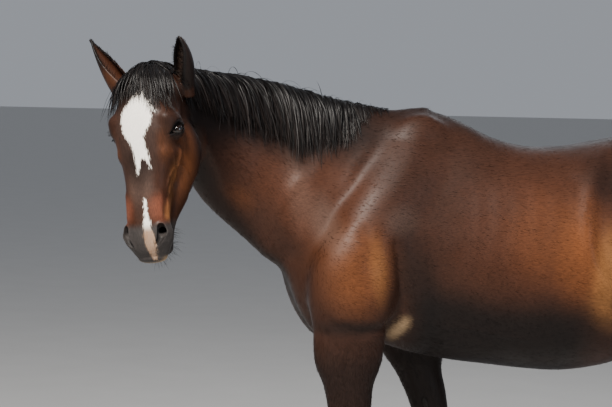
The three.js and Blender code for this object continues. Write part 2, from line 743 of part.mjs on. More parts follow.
function node(name, body, material) {
  const mesh = largest(body).getMesh();
  const bent = new Float32Array(mesh.numVert * 3);
  for (let i = 0; i < mesh.numVert; i++)
    bent.set(bend(...mesh.vertProperties.slice(i * mesh.numProp, i * mesh.numProp + 3)), i * 3);
  const geometry = new THREE.BufferGeometry()
    .setAttribute("position", new THREE.BufferAttribute(bent, 3))
    .setIndex(new THREE.BufferAttribute(mesh.triVerts, 1));
  const made = new THREE.Mesh(geometry, new THREE.MeshStandardMaterial(materials[material]));
  made.name = name;
  horse.add(made);
}

function buildTrunk() {
  let body = surface(flesh, [-560, -330, 740], [1300, 330, 1690], CELL.trunk);
  body = body.subtract(neckSpace(GAP));
  for (const leg of [FORE, HIND]) {
    for (const side of [-1, 1]) body = body.subtract(legSpace(leg, side, GAP));
  }
  node("trunk", body.subtract(tailSolid(GAP)), "coat");
}

const NECK_BOX = [[-960, -200, 980], [-40, 200, 1800]];
const HEAD_BOX = [[-1160, -140, 1150], [-640, 140, 1820]];
function buildNeck() {
  const whole = surface(flesh, ...NECK_BOX, CELL.neck);
  node("neck", common(whole, neckSpace(0), behind(POLL_CUT.point, POLL_CUT.normal)), "coat");
}

const eyeAt = (side) => {
  const [x, z] = headPoint(EYE.along, EYE.deep);
  return [x, side * EYE.side, z];
};
function eyeBall(side, radius) {
  return solidOf(new THREE.SphereGeometry(radius, 13, 9).translate(...eyeAt(side)));
}

const EARS = {
  left: {
    side: -1,
    root: [38, 124],
    width: 62,
    swell: [0.62, 1.5, -1.15],
    turns: { tilt: -18, lean: 13, turn: 35 },
    tip: 14,
  },
  right: {
    side: 1,
    root: [18, 97],
    width: 48,
    swell: [1.4, -0.5, -0.5],
    turns: { tilt: 0, lean: 28, turn: 60 },
    tip: 8,
  },
};

function buildHead() {
  const whole = surface(flesh, ...HEAD_BOX, CELL.head);
  let head = whole.intersect(ahead(POLL_CUT.point, POLL_CUT.normal, -GAP));
  for (const side of [-1, 1]) head = head.subtract(eyeBall(side, EYE_RADIUS + 0.6));
  head = largest(head);
  node("head", head, "coat");
  const clearOfHead = surface((...p) => flesh(...p) - CLEARANCE, ...HEAD_BOX, CELL.head);
  for (const [name, ear] of Object.entries(EARS)) {
    node("eye_" + name, eyeBall(ear.side, EYE_RADIUS), "eye");
    node("ear_" + name, earSolid(ear).subtract(clearOfHead).simplify(0.3), "coat");
  }
}

function buildLeg(leg, name, side) {
  const [low, high] = [leg.low(side), leg.high(side)];
  const part = (bottom, top, cell) => {
    const [inner, outer] = side < 0 ? [-high[1], -low[1]] : [low[1], high[1]];
    return surface(flesh, [low[0], inner, bottom], [high[0], outer, top], cell);
  };
  const joint = [0, 0, leg.joint];
  const upper = part(leg.joint - 60, high[2], CELL.upper);
  node(name, common(upper, legSpace(leg, side, 0), ahead(joint, [0, 0, 1])), "coat");
  const lower = part(40, leg.joint + 40, CELL.lower);
  const aboveHoof = ahead(coronetAt(leg, side), leg.coronet.normal);
  node(name + "_cannon", common(lower, behind(joint, [0, 0, 1], -GAP), aboveHoof), "darkCoat");
  node(name + "_hoof", hoofSolid(leg, side), "hoof");
}

const MANE = { front: -885, rear: -185, top: 1790, drop: 150, root: 4, thickest: 15, thinning: 9 };
const FORELOCK = { along: -6, deep: 42, left: 60, right: 44, lift: 12, thickest: 11, thinning: 6 };

function buildHair() {
  const mane = hairStrip({
    columns: 16,
    drops: [0, 0.07, 0.18, 0.36, 0.64, 1],
    rootAt: (s) => [MANE.front + (MANE.rear - MANE.front) * s, 10, MANE.top - MANE.drop * s],
    fall: [0.02, -0.45, -0.9],
    lengthAt: (s) => 110 + 330 * s * (1 - s) + 60 * s,
    thicknessAt: (s, drop) => {
      const thick = drop === 0 ? MANE.root : MANE.thickest - MANE.thinning * drop;
      return thick * Math.min(1, 0.4 + 5 * Math.min(s, 1 - s));
    },
  });
  node("mane", mane, "hair");
  const [x, z] = headPoint(FORELOCK.along, FORELOCK.deep);
  const forelock = hairStrip({
    columns: 8,
    drops: [0, 0.15, 0.35, 0.6, 0.8, 1],
    rootAt: (s) => [x, (FORELOCK.left + FORELOCK.right) * s - FORELOCK.left, z + FORELOCK.lift],
    fall: [-facing[0], 0, -facing[1]],
    lengthAt: (s) => 90 + 220 * s * (1 - s),
    thicknessAt: (s, drop) => FORELOCK.thickest - FORELOCK.thinning * drop,
  });
  node("forelock", forelock, "hair");
}

// The tail hangs from the dock: each row is a place on its centre line, its half depth and its half width.
const TAIL = [
  [1150, 1478, 24, 24],
  [1205, 1478, 27, 28],
  [1258, 1446, 28, 34],
  [1292, 1370, 28, 40],
  [1308, 1250, 31, 48],
  [1314, 1050, 36, 58],
  [1314, 850, 39, 62],
  [1310, 650, 38, 60],
  [1304, 470, 30, 48],
  [1300, 350, 16, 24],
];
function tailSolid(grow) {
  return rings(
    TAIL.map(([x, z, deep, wide], i) => {
      const [a, b] = [TAIL[Math.max(i - 1, 0)], TAIL[Math.min(i + 1, TAIL.length - 1)]];
      const slope = Math.atan2(b[1] - a[1], b[0] - a[0]);
      return Array.from({ length: 14 }, (_, j) => {
        const angle = (-j / 14) * 2 * Math.PI;
        const off = Math.cos(angle) * (deep + grow);
        return [x - off * Math.sin(slope), Math.sin(angle) * (wide + grow), z + off * Math.cos(slope)];
      });
    }),
  );
}

buildTrunk();
buildHair();
node("tail", tailSolid(0), "hair");
buildNeck();
buildHead();
for (const [name, side] of [["left", -1], ["right", 1]]) {
  buildLeg(FORE, "foreleg_" + name, side);
  buildLeg(HIND, "hindleg_" + name, side);
}

const box = new THREE.Box3().setFromObject(horse);
const middle = box.getCenter(new THREE.Vector3());
horse.position.set(-middle.x, -middle.y, -box.min.z);

export default horse;
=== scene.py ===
import bpy
import math
import numpy as np
from mathutils import Matrix, Vector


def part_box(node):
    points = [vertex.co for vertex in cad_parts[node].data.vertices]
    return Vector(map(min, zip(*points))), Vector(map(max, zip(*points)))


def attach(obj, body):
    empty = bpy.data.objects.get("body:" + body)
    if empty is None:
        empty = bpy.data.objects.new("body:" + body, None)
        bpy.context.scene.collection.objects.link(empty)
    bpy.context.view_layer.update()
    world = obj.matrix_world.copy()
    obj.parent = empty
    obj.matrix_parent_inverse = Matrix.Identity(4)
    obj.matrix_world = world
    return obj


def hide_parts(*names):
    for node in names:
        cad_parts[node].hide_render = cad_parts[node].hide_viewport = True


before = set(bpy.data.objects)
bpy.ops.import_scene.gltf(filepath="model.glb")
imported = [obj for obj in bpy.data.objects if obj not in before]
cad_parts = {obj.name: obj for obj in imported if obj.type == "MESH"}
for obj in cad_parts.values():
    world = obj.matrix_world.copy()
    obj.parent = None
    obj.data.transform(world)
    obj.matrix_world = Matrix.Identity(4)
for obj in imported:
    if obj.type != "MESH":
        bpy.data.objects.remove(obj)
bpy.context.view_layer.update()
MM = 0.001

# ---- Driving dimensions of the straight horse, in millimetres, as the solids have them ----
EYE_RADIUS = 22
EYE = (168, 65, 91)  # centre of the left eyeball: along the face, deep behind it, to the side
POLL = (-985, 1753)
FACE_PITCH = math.radians(14)
EAR_SIDE, EAR_LENGTH, EAR_WALL = 106, 160, 6
HOOF_HEIGHT = 86
BEND_CENTRE = (-600, 900)
BEND_FROM, BEND_TO, BEND_STEPS = 66, 99, 96
BEND_TURN, BEND_ROLL, BEND_NOD, BEND_SHIFT = 51.9, 10.2, -9.1, (27, -25, 4)
NEAR_FORELEG_FORWARD, FAR_FORELEG_BACK, FAR_FORELEG_SLANT = 133, 128, 0.28
LEG_SIDE = 142  # from the middle of the horse to a foreleg's middle
# Height, then how far the toe, the heel and each side lie from the hoof's middle.
HOOF_LEVELS = np.array([(0, 78, 58, 63), (30, 66, 60, 59), (HOOF_HEIGHT + 24, 36, 62, 46)], float)
HOOVES = {  # centre in x and y, and the coronet's x, standing square
    "foreleg_left": (-170, -LEG_SIDE, -168),
    "foreleg_right": (-170, LEG_SIDE, -168),
    "hindleg_left": (1160, -130, 1160),
    "hindleg_right": (1160, 130, 1160),
}
BODY_CELL, CELL_SPLIT, ROUGH_CELLS = 14, 4, 4  # the skin's cells, split on the head, found in blocks
COAT_DEPTH, THIN_COAT = 2.5, 1.2  # on the body, and on the face and lower legs
LOFT_REACH, FAR_OUTSIDE = 110, 200.0  # beyond this from its sections, a loft's field is just far outside
MIDDLE = 420  # x between what belongs to the forelegs and what belongs to the hind ones
HAUNCH_FROM, HEAD_FROM, FACE_FROM = 480, -480, -760  # x where these parts come into the field
# How far apart two shapes begin to flow into each other.
NECK_BLEND, BREAST_BLEND, ARM_BLEND, FORELEG_BLEND = 70, 60, 60, 45
HAUNCH_BLEND, HINDLEG_BLEND, DOCK_BLEND = 70, 60, 24
HEAD_BLEND, JAW_BLEND, FACE_BLEND, EAR_BLEND, LID_BLEND = 34, 22, 20, 15, 8
WING_BLEND, TUNNEL_BLEND, NOSTRIL_BLEND, LID_EDGE_BLEND, STAR_BLEND = 10, 8, 3, 2, 4


def clamp01(t):
    return np.clip(t, 0, 1)


def smooth_step(t):
    t = clamp01(t)
    return t * t * (3 - 2 * t)


def ramp(value, start, end):
    """Rises smoothly from 0 at start to 1 at end, which may be less than start."""
    return smooth_step((value - start) / (end - start))


def smooth_min(a, b, k):
    h = np.maximum(k - np.abs(a - b), 0) / k
    return np.minimum(a, b) - h * h * k / 4


def smooth_max(a, b, k):
    return -smooth_min(-a, -b, k)


# ---- Fields: negative inside, about millimetres near the surface ----
def section(top, bottom, half, y=0, widest=0.5, up=2, down=2):
    """One section of a loft, from its upper or front point to its lower or rear one in the x-z plane."""
    return [*top, *bottom, half, y, widest, up, down]


def refine(rows, steps=3):
    """Rows between the given ones on a Catmull-Rom curve."""
    last = len(rows) - 1
    out = []
    for i in range(last):
        a, b, c, d = (rows[j] for j in (max(i - 1, 0), i, i + 1, min(i + 2, last)))
        for t in np.arange(steps) / steps:
            bend = 2 * a - 5 * b + 4 * c - d + t * (3 * (b - c) + d - a)
            out.append(b + 0.5 * t * (c - a + t * bend))
    return np.array(out + [rows[last]])


def in_parts(rows, size):
    """Goes through many rows, a part of this size at a time."""
    for i in range(0, len(rows), size):
        yield rows[i : i + size]


class Loft:
    """The field of a body through sections that stand like a fan in the x-z plane, with rounded ends."""

    def __init__(self, sections, start_cap, end_cap):
        rows = refine(np.array(sections, float))
        top, bottom = rows[:, 0:2], rows[:, 2:4]
        half, y, widest, up, down = rows[:, 4:].T
        depth = np.hypot(*(top - bottom).T)
        normal = (top - bottom) / depth[:, None]
        centre = top + (bottom - top) * widest[:, None]
        across = np.stack([-normal[:, 1], normal[:, 0]], 1)
        if (centre[-1] - centre[0]) @ across[0] < 0:
            across = -across
        self.centre, self.across = centre, across
        sizes = [depth * widest, depth * (1 - widest), half, y, up, down]
        self.facts = np.column_stack([centre, normal, *sizes])
        self.caps = start_cap, end_cap
        ends = np.concatenate([top, bottom])
        self.low, self.high = ends.min(0) - LOFT_REACH, ends.max(0) + LOFT_REACH

    def __call__(self, x, y, z):
        out = np.full(len(x), FAR_OUTSIDE)
        near = (x > self.low[0]) & (x < self.high[0]) & (z > self.low[1]) & (z < self.high[1])
        for part in in_parts(np.flatnonzero(near), 60000):
            out[part] = self.value(x[part], y[part], z[part])
        return out

    def value(self, x, y, z):
        last = len(self.centre) - 1
        ahead = np.outer(x, self.across[:, 0]) + np.outer(z, self.across[:, 1])
        ahead -= (self.centre * self.across).sum(1)
        behind = ahead[:, 1:] < 0
        inside = behind.any(1)
        i = np.where(inside, behind.argmax(1), last - 1)
        before_first = ahead[:, 0] < 0
        i[before_first] = 0
        rows = np.arange(len(x))
        before, after = ahead[rows, i], ahead[rows, i + 1]
        t = before / np.where(before == after, 1, before - after)
        past = ~inside & ~before_first
        t = np.where(before_first, 0, np.where(past, 1, t))[:, None]
        beyond = np.where(before_first, -ahead[:, 0], np.where(past, ahead[:, last], 0))
        cap = np.where(past, self.caps[1], self.caps[0])
        cx, cz, nx, nz, above, below, half, side, up, down = (
            self.facts[i] * (1 - t) + self.facts[i + 1] * t
        ).T
        u = (x - cx) * nx + (z - cz) * nz
        v = y - side
        reach, power = np.where(u > 0, above, below), np.where(u > 0, up, down)
        q = np.abs(u / reach) ** power + np.abs(v / half) ** power
        q = np.maximum(q ** (1 / power), 1e-4)
        q = np.hypot(q, beyond / cap)
        distance = np.sqrt(u * u + v * v + beyond * beyond)
        return np.where(distance < 1, -half, distance * (1 - 1 / q))


def blob(centre, radii, angle=0.0):
    """The field of an ellipsoid, its first and third radii turned by an angle in the x-z plane."""
    c, s = math.cos(math.radians(angle)), math.sin(math.radians(angle))

    def field(x, y, z):
        dx, dy, dz = x - centre[0], y - centre[1], z - centre[2]
        p = np.stack([(dx * c + dz * s) / radii[0], dy / radii[1], (dz * c - dx * s) / radii[2]])
        q = np.maximum(np.sqrt((p * p).sum(0)), 1e-4)
        slope = np.sqrt((p * p / np.array(radii)[:, None] ** 2).sum(0))
        return q * (q - 1) / np.maximum(slope, 1e-6)

    return field


BARREL = Loft(
    [
        section((-330, 1300), (-352, 985), 125),
        section((-230, 1410), (-275, 925), 165),
        section((-130, 1530), (-165, 880), 196, widest=0.58, up=1.9),
        section((-10, 1594), (-40, 838), 216, widest=0.58, up=1.65),
        section((100, 1570), (90, 812), 240, widest=0.58, up=1.75),
        section((210, 1520), (210, 797), 264, widest=0.54, up=1.9),
        section((330, 1492), (330, 783), 284, widest=0.52),
        section((450, 1494), (450, 775), 292, widest=0.52, up=2.1),
        section((560, 1510), (560, 785), 290, up=2.1),
        section((660, 1530), (650, 806), 280, widest=0.48, up=2.05),
        section((770, 1553), (740, 850), 262, widest=0.45),
        section((880, 1564), (830, 905), 250, widest=0.42),
        section((990, 1552), (930, 960), 236, widest=0.42),
        section((1090, 1518), (1050, 1010), 206, widest=0.45),
        section((1170, 1470), (1140, 1080), 160),
    ],
    60,
    70,
)
NECK_SECTIONS = [
    section((-10, 1585), (-330, 1040), 155, widest=0.58, up=1.8),
    section((-130, 1597), (-418, 1085), 136, widest=0.58, up=1.75),
    section((-290, 1616), (-508, 1136), 112, widest=0.58, up=1.75),
    section((-450, 1650), (-580, 1218), 91, widest=0.57, up=1.8),
    section((-600, 1690), (-644, 1302), 78, widest=0.56, up=1.8),
    section((-740, 1726), (-700, 1382), 70, widest=0.52, up=1.8),
    section((-870, 1752), (-746, 1458), 66),
    section((-940, 1748), (-775, 1550), 60),
]
NECK = Loft(NECK_SECTIONS, 60, 40)
SCAPULA = Loft(
    [
        section((-110, 1505), (40, 1505), 36, 78),
        section((-180, 1400), (8, 1400), 46, 124),
        section((-232, 1300), (-28, 1300), 54, 152),
        section((-258, 1200), (-45, 1200), 60, 166),
        section((-252, 1110), (-48, 1110), 66, 164),
        section((-240, 1030), (-60, 1030), 62, 152),
    ],
    70,
    60,
)
ARM = [SCAPULA, blob((-150, 176, 1090), (118, 58, 150), 12), blob((-110, 172, 1000), (82, 56, 100))]
BREAST = [blob((-300, 118, 1080), (84, 78, 100)), blob((-340, 50, 1010), (66, 62, 150), 23)]
HAUNCH = [
    blob((930, 118, 1355), (270, 138, 180), -14),
    blob((748, 198, 1432), (78, 48, 58)),
    blob((1080, 120, 1270), (150, 105, 220), 10),
]
FORELEG = Loft(
    [
        section((-235, 1150), (-62, 1170), 66, 152),
        section((-250, 1030), (-38, 1040), 74, 158),
        section((-247, 930), (-22, 950), 70, 158),
        section((-240, 830), (-26, 836), 63, 155),
        section((-211, 760), (-50, 762), 55, 152),
        section((-194, 690), (-55, 690), 49, 148),
        section((-183, 600), (-66, 600), 43, 146),
        section((-176, 535), (-70, 535), 44, 144),
        section((-184, 490), (-72, 492), 49, 143, up=2.6, down=2.4),
        section((-172, 440), (-78, 440), 41, 142),
        section((-155, 385), (-86, 385), 27, 142),
        section((-152, 300), (-84, 300), 25, 142),
        section((-156, 250), (-78, 252), 29, 142),
        section((-168, 215), (-74, 212), 35, 142),
        section((-190, 162), (-112, 150), 30, 142),
        section((-214, 112), (-118, 84), 40, 142),
        section((-226, 80), (-110, 60), 46, 142),
    ],
    60,
    20,
)
HINDLEG = Loft(
    [
        section((790, 1430), (1150, 1450), 104, 138),
        section((778, 1280), (1236, 1340), 118, 138, widest=0.45),
        section((778, 1130), (1240, 1210), 118, 140, widest=0.45),
        section((808, 1000), (1205, 1085), 106, 142, widest=0.45),
        section((862, 905), (1158, 965), 84, 140),
        section((935, 815), (1136, 845), 62, 136),
        section((1020, 710), (1172, 752), 46, 132),
        section((1085, 628), (1272, 690), 40, 130),
        section((1118, 565), (1290, 612), 44, 130),
        section((1140, 510), (1262, 520), 41, 130),
        section((1162, 455), (1246, 458), 33, 130),
        section((1174, 380), (1243, 380), 27, 130),
        section((1176, 300), (1246, 300), 26, 130),
        section((1172, 252), (1256, 254), 31, 130),
        section((1162, 217), (1262, 212), 36, 130),
        section((1140, 162), (1222, 150), 31, 130),
        section((1114, 112), (1212, 84), 40, 130),
        section((1102, 80), (1218, 60), 46, 130),
    ],
    60,
    20,
)
DOCK = Loft(
    [
        section((1110, 1512), (1110, 1462), 26),
        section((1190, 1508), (1182, 1458), 25),
        section((1262, 1472), (1236, 1430), 23),
        section((1306, 1390), (1266, 1378), 20),
        section((1318, 1290), (1288, 1286), 14),
    ],
    20,
    20,
)

# ---- The head, in measures along the face from the poll and deep behind the face line ----
FACING = math.sin(FACE_PITCH), math.cos(FACE_PITCH)


def head_point(along, deep):
    x = POLL[0] - FACING[0] * along + FACING[1] * deep
    return x, POLL[1] - FACING[1] * along - FACING[0] * deep


def head_measures(x, z):
    """How far along the face and how deep behind it a point is: the inverse of head_point."""
    dx, dz = x - POLL[0], z - POLL[1]
    return -dx * FACING[0] - dz * FACING[1], dx * FACING[1] - dz * FACING[0]


def head_section(along, front, rear, half, **more):
    return section(head_point(along, front), head_point(along, rear), half, **more)


def head_blob(along, deep, side, radii, angle=0.0):
    x, z = head_point(along, deep)
    return blob((x, side, z), radii, angle - math.degrees(FACE_PITCH))


SKULL = Loft(
    [
        head_section(-4, 48, 140, 56),
        head_section(28, 16, 165, 70, up=2.2),
        head_section(70, 0, 170, 84, up=2.5),
        head_section(115, -6, 168, 93, up=2.7, widest=0.42),
        head_section(165, -7, 160, 98, up=2.7, widest=0.4),
        head_section(208, -5, 152, 90, up=2.5, widest=0.42),
        head_section(255, 0, 142, 79, up=2.4, widest=0.45),
        head_section(305, 2, 130, 70, up=2.4),
        head_section(355, 2, 118, 65, up=2.4),
        head_section(400, 1, 108, 62, up=2.4),
        head_section(438, 1, 104, 65, up=2.2),
        head_section(474, 7, 102, 69, up=2.1),
        head_section(504, 20, 96, 58, up=2.1),
        head_section(524, 38, 90, 46),
    ],
    24,
    16,
)
JAW = Loft(
    [
        head_section(70, 85, 205, 56, down=1.9),
        head_section(120, 80, 243, 70, down=1.8),
        head_section(170, 75, 266, 78, down=1.7),
        head_section(220, 75, 268, 82, down=1.6),
        head_section(268, 78, 266, 83, down=1.6),
        head_section(312, 80, 254, 78, down=1.7),
        head_section(362, 80, 216, 61, down=1.8),
        head_section(415, 78, 164, 47),
        head_section(462, 76, 137, 43),
        head_section(497, 78, 130, 40),
    ],
    30,
    20,
)
FACE = [
    head_blob(154, 60, 87, (44, 24, 32)),  # orbit
    head_blob(133, 40, 84, (32, 22, 20)),  # brow
    head_blob(232, 92, 68, (70, 18, 22)),  # facial crest
    head_blob(222, 170, 60, (76, 36, 84)),  # cheek muscle
    head_blob(462, 46, 52, (24, 21, 30)),  # nostril
    head_blob(492, 112, 0, (26, 32, 24)),  # chin
    head_blob(38, 96, 70, (38, 34, 36)),  # root of the ear
]


def chain_distance(balls, *point):
    """How far outside a chain of round-ended tapers a point is. A ball is its centre and its radius."""
    best = np.full(len(point[0]), 1e3)
    for a, b in zip(balls, balls[1:]):
        span = np.subtract(b[:-1], a[:-1])
        offset = [p - start for p, start in zip(point, a)]
        t = clamp01(sum(o * s for o, s in zip(offset, span)) / (span @ span))
        gap = sum((o - t * s) ** 2 for o, s in zip(offset, span))
        best = np.minimum(best, np.sqrt(gap) - a[-1] - (b[-1] - a[-1]) * t)
    return best


def taper(chain):
    """The field of such a chain on the head, its balls given along, deep, to the side and by radius."""
    balls = []
    for along, deep, side, radius in chain:
        x, z = head_point(along, deep)
        balls.append((x, side, z, radius))
    return lambda x, side, z: chain_distance(balls, x, side, z)


NOSTRIL_BALLS = [(443, 18, 57, 10.5), (458, 18, 59, 13), (475, 19, 52, 9.5), (491, 20, 41, 5)]
NOSTRIL = taper(NOSTRIL_BALLS)
NOSTRIL_WING = taper([(along, deep + 10, side - 4, r + 6) for along, deep, side, r in NOSTRIL_BALLS])
NOSTRIL_TUNNEL = taper([(456, 26, 56, 12), (440, 66, 38, 9)])


# Each ear's root along and deep, its greatest width with how it swells along its length, the turns that
# stand it up in degrees, and how far its tip bends.
EARS = {
    "left": {
        "side": -1,
        "root": (38, 124),
        "width": 62,
        "swell": (0.62, 1.5, -1.15),
        "turns": (("Y", -18), ("X", 13), ("Z", -35)),
        "tip": 14,
    },
    "right": {
        "side": 1,
        "root": (18, 97),
        "width": 48,
        "swell": (1.4, -0.5, -0.5),
        "turns": (("Y", 0), ("X", -28), ("Z", 60)),
        "tip": 8,
    },
}


def ear_frame(ear):
    """The 4x4 matrix from an ear's own space, its length along z, to the horse."""
    x, z = head_point(*ear["root"])
    frame_of_ear = Matrix.Translation((x, ear["side"] * EAR_SIDE, z))
    for axis, degrees in ear["turns"]:
        frame_of_ear = frame_of_ear @ Matrix.Rotation(math.radians(degrees), 4, axis)
    return np.array(frame_of_ear)


def ear_radius(ear, h):
    a, b, c = ear["swell"]
    swell = a + b * h + c * h * h
    return np.maximum(ear["width"] * 0.5 * swell * np.sqrt(np.maximum(1.001 - h**3, 0)), 5)


def ear_bow(ear, h):
    """How far the curl's axis lies behind the ear's own, for its bow and its bent tip."""
    return ear_radius(ear, h) * 0.25 + ear["tip"] * h * h


def ear_opening(h):
    """The angle from the ear's back to the rim of its opening."""
    return np.radians(150 - 75 * h)


def ear_local(ear, x, y, z):
    """A point in an ear's curled measures: its height, its distance from the curl's axis and its angle."""
    back = np.linalg.inv(ear_frame(ear))
    lx, ly, lz = (back[i, 0] * x + back[i, 1] * y + back[i, 2] * z + back[i, 3] for i in range(3))
    h = clamp01(lz / EAR_LENGTH)
    px = lx + ear_bow(ear, h)
    return lz, h, np.hypot(px, ly), np.arctan2(ly, px)


def ear_field(ear, x, y, z):
    lz, h, rho, angle = ear_local(ear, x, y, z)
    middle = ear_radius(ear, h) - EAR_WALL / 2
    past = np.maximum(np.abs(angle) - ear_opening(h), 0)
    to_edge = np.sqrt(rho**2 + middle**2 - 2 * rho * middle * np.cos(past))
    across = np.where(past > 0, to_edge, np.abs(rho - middle)) - EAR_WALL / 2
    return np.maximum(across, np.maximum(-25 - lz, lz - EAR_LENGTH))


# ---- Relief: raised and sunk strokes under the coat ----
# Each stroke has a height, a half width and the points that it follows, in x and z on the body,
# along and deep on the head. They lie on both sides of the horse, since they are its muscles and veins.
FLANK_EDGE = [
    (545, 1478), (500, 1420), (467, 1363), (446, 1289), (444, 1214), (457, 1147), (491, 1090), (545, 1022),
]
BODY_STROKES = [
    (6, 11, [(-790, 1590), (-745, 1490), (-698, 1404), (-640, 1318), (-600, 1270)]),  # behind the jaw
    (5, 16, [(-400, 1400), (-451, 1345), (-496, 1267), (-507, 1190)]),  # long muscle of the neck's side
    (3, 20, [(-290, 1500), (-350, 1440), (-384, 1370), (-392, 1290)]),
    (3, 16, [(-178, 1512), (-250, 1425), (-300, 1330)]),  # spine of the shoulder blade
    (-5, 20, [(-415, 1290), (-432, 1200), (-425, 1110)]),
    (-9, 15, [(-150, 1220), (-128, 1120), (-104, 1030), (-108, 965)]),  # behind the triceps
    (-7, 13, [(-372, 985), (-325, 945), (-250, 925), (-165, 940), (-120, 965)]),  # above the elbow
    (-4, 8, [(-352, 935), (-335, 895), (-308, 868)]),
    (-5, 26, [(-250, 1260), (-225, 1180), (-232, 1100)]),
    (10, 26, FLANK_EDGE),
    (-13, 46, [(585, 1415), (530, 1310), (514, 1210), (545, 1120), (600, 1060)]),  # hollow of the flank
    (7, 26, [(412, 1392), (473, 1438), (560, 1482), (660, 1496)]),
    (8, 17, [(481, 1005), (540, 970), (615, 948), (700, 960)]),  # fold from flank to stifle
    (-5, 20, [(520, 1010), (600, 985), (680, 990)]),
    (2.6, 6, [(-70, 962), (20, 935), (120, 930), (230, 906), (330, 893)]),  # spur vein
    (2.2, 5, [(-372, 1010), (-352, 940), (-330, 860), (-296, 770), (-262, 690)]),
    (1.8, 4, [(-345, 1060), (-290, 1045), (-240, 1010), (-190, 1000)]),
    (1.6, 4, [(-240, 1010), (-262, 960), (-270, 900)]),
    (-7, 16, [(1150, 1370), (1108, 1230), (1066, 1120), (1040, 1010)]),  # seat muscles
    (-5, 18, [(960, 1300), (985, 1200), (1000, 1100), (965, 1010)]),
    (-5, 22, [(730, 1300), (790, 1210), (830, 1120)]),
    (5, 24, [(790, 1060), (840, 1000), (885, 950)]),  # stifle
    (2.4, 5, [(885, 900), (940, 820), (1000, 745), (1065, 660)]),
]
RIB_FIRST, RIB_STEP, RIB_COUNT, RIB_HEIGHT, RIB_WIDTH = 120, 58, 6, 0.9, 16
LEG_STROKES = [  # on the foreleg standing square, and on the hindleg
    (-3.4, 9, [(-150, 905), (-150, 790), (-135, 680), (-118, 610)]),
    (-3, 8, [(-200, 880), (-192, 770), (-172, 670)]),
    (-4, 6, [(-112, 455), (-108, 380), (-110, 300), (-112, 258)]),  # between cannon bone and tendons
    (2.4, 5, [(-96, 455), (-92, 380), (-93, 300)]),
    (-3, 8, [(-160, 545), (-128, 528), (-92, 540)]),  # knee
    (-3, 8, [(-166, 462), (-130, 470), (-96, 462)]),
    (3, 9, [(-168, 505), (-150, 495)]),
    (-9, 15, [(1108, 770), (1150, 690), (1182, 640)]),  # in front of the hamstring
    (-4, 8, [(1130, 600), (1170, 585), (1215, 560)]),  # hock
    (4, 12, [(1160, 560), (1150, 530)]),
    (-4, 6, [(1212, 460), (1212, 380), (1214, 300), (1216, 262)]),
    (2.4, 5, [(1228, 455), (1230, 380), (1230, 300)]),
]
HEAD_STROKES = [
    (5, 8, [(205, 92), (250, 92), (300, 90), (318, 88)]),  # facial crest
    (-4, 12, [(300, 108), (330, 96), (350, 80)]),
    (2.6, 4, [(300, 152), (278, 130), (262, 108), (268, 80), (300, 56), (340, 46)]),  # facial vein
    (2, 3.5, [(268, 80), (244, 62), (222, 44)]),
    (2, 3.5, [(315, 66), (350, 60), (392, 62)]),
    (1.8, 3.5, [(160, 118), (196, 122), (226, 118)]),
    (-4, 13, [(112, 84), (95, 66), (88, 48)]),  # hollow above the eye
    (-5, 15, [(345, 60), (390, 50), (420, 46)]),  # side of the nose
    (3.4, 9, [(330, 26), (380, 24), (425, 26)]),
    (-3.2, 4.5, [(424, 122), (455, 112), (490, 101), (512, 88), (528, 76)]),  # mouth
    (-2, 3, [(430, 70), (420, 84), (405, 92)]),  # wrinkles behind the nostril
    (-2, 3, [(446, 76), (440, 90), (428, 100)]),
    (-1.6, 3, [(463, 74), (462, 86), (452, 96)]),
    (-6, 22, [(235, 238), (300, 214), (350, 178)]),  # between the cheek and the jaw's edge
    (4, 12, [(170, 252), (240, 258), (292, 250), (330, 222)]),
]
LID_CREASES = [(18.5, 1.5, 1.6), (25, 2.0, 1.6), (-14.5, 1.2, 1.5), (-20, 1.2, 1.5)]  # height, depth, width


def stroke(a, b, height, width, points):
    """A raised or sunk line through points in the a-b plane that fades towards its ends."""
    points = np.array(points, float)
    spans = np.diff(points, axis=0)
    lengths = np.linalg.norm(spans, axis=1)
    total = lengths.sum()
    out = np.zeros(len(a))
    reach = 2.4 * width
    low, high = points.min(0) - reach, points.max(0) + reach
    near = np.flatnonzero((a > low[0]) & (a < high[0]) & (b > low[1]) & (b < high[1]))
    if not len(near):
        return out
    best, place = np.full(len(near), 1e9), np.zeros(len(near))
    walked = 0
    for start, span, length in zip(points, spans, lengths):
        da, db = a[near] - start[0], b[near] - start[1]
        t = clamp01((da * span[0] + db * span[1]) / length**2)
        d = np.hypot(da - t * span[0], db - t * span[1])
        place = np.where(d < best, (walked + t * length) / total, place)
        best = np.minimum(best, d)
        walked += length
    fade = smooth_step(np.minimum(place, 1 - place) / 0.22 + 0.15)
    out[near] = height * np.exp(-((best / width) ** 2)) * fade
    return out


def strokes(table, a, b):
    return sum(stroke(a, b, *line) for line in table)


def ribs(x, z):
    out = np.zeros(len(x))
    for i in range(RIB_COUNT):
        top = RIB_FIRST + i * RIB_STEP
        points = [(top, 1395), (top - 6, 1270), (top - 32, 1130), (top - 84, 1010)]
        out += stroke(x, z, RIB_HEIGHT, RIB_WIDTH, points)
    return out


def body_relief(x, y, z):
    """How far the skin stands out of its plain shape, away from the horse's middle."""
    aside = ramp(np.abs(y), 22, 52)
    square = np.where(x < MIDDLE, x - limb_shift(y, z), x)
    lower = strokes(LEG_STROKES, square, z) * (z < 930)
    upper = strokes(BODY_STROKES, x, z) + ribs(x, z)
    return upper * aside * ramp(z, 560, 640) + lower


def head_relief(x, y, z):
    along, deep = head_measures(x, z)
    side = np.abs(y)
    return strokes(HEAD_STROKES, along, deep) * ramp(side, 18, 32)


def lid_folds(u, v):
    """Creases of the upper and lower lids."""
    out = np.zeros(len(u))
    for height, depth, width in LID_CREASES:
        arch = height * (1 - (u / 44) ** 2) + 0.1 * u
        fade = ramp(np.abs(u), 34, 18)
        out -= depth * fade * np.exp(-(((v - arch) / width) ** 2))
    return out


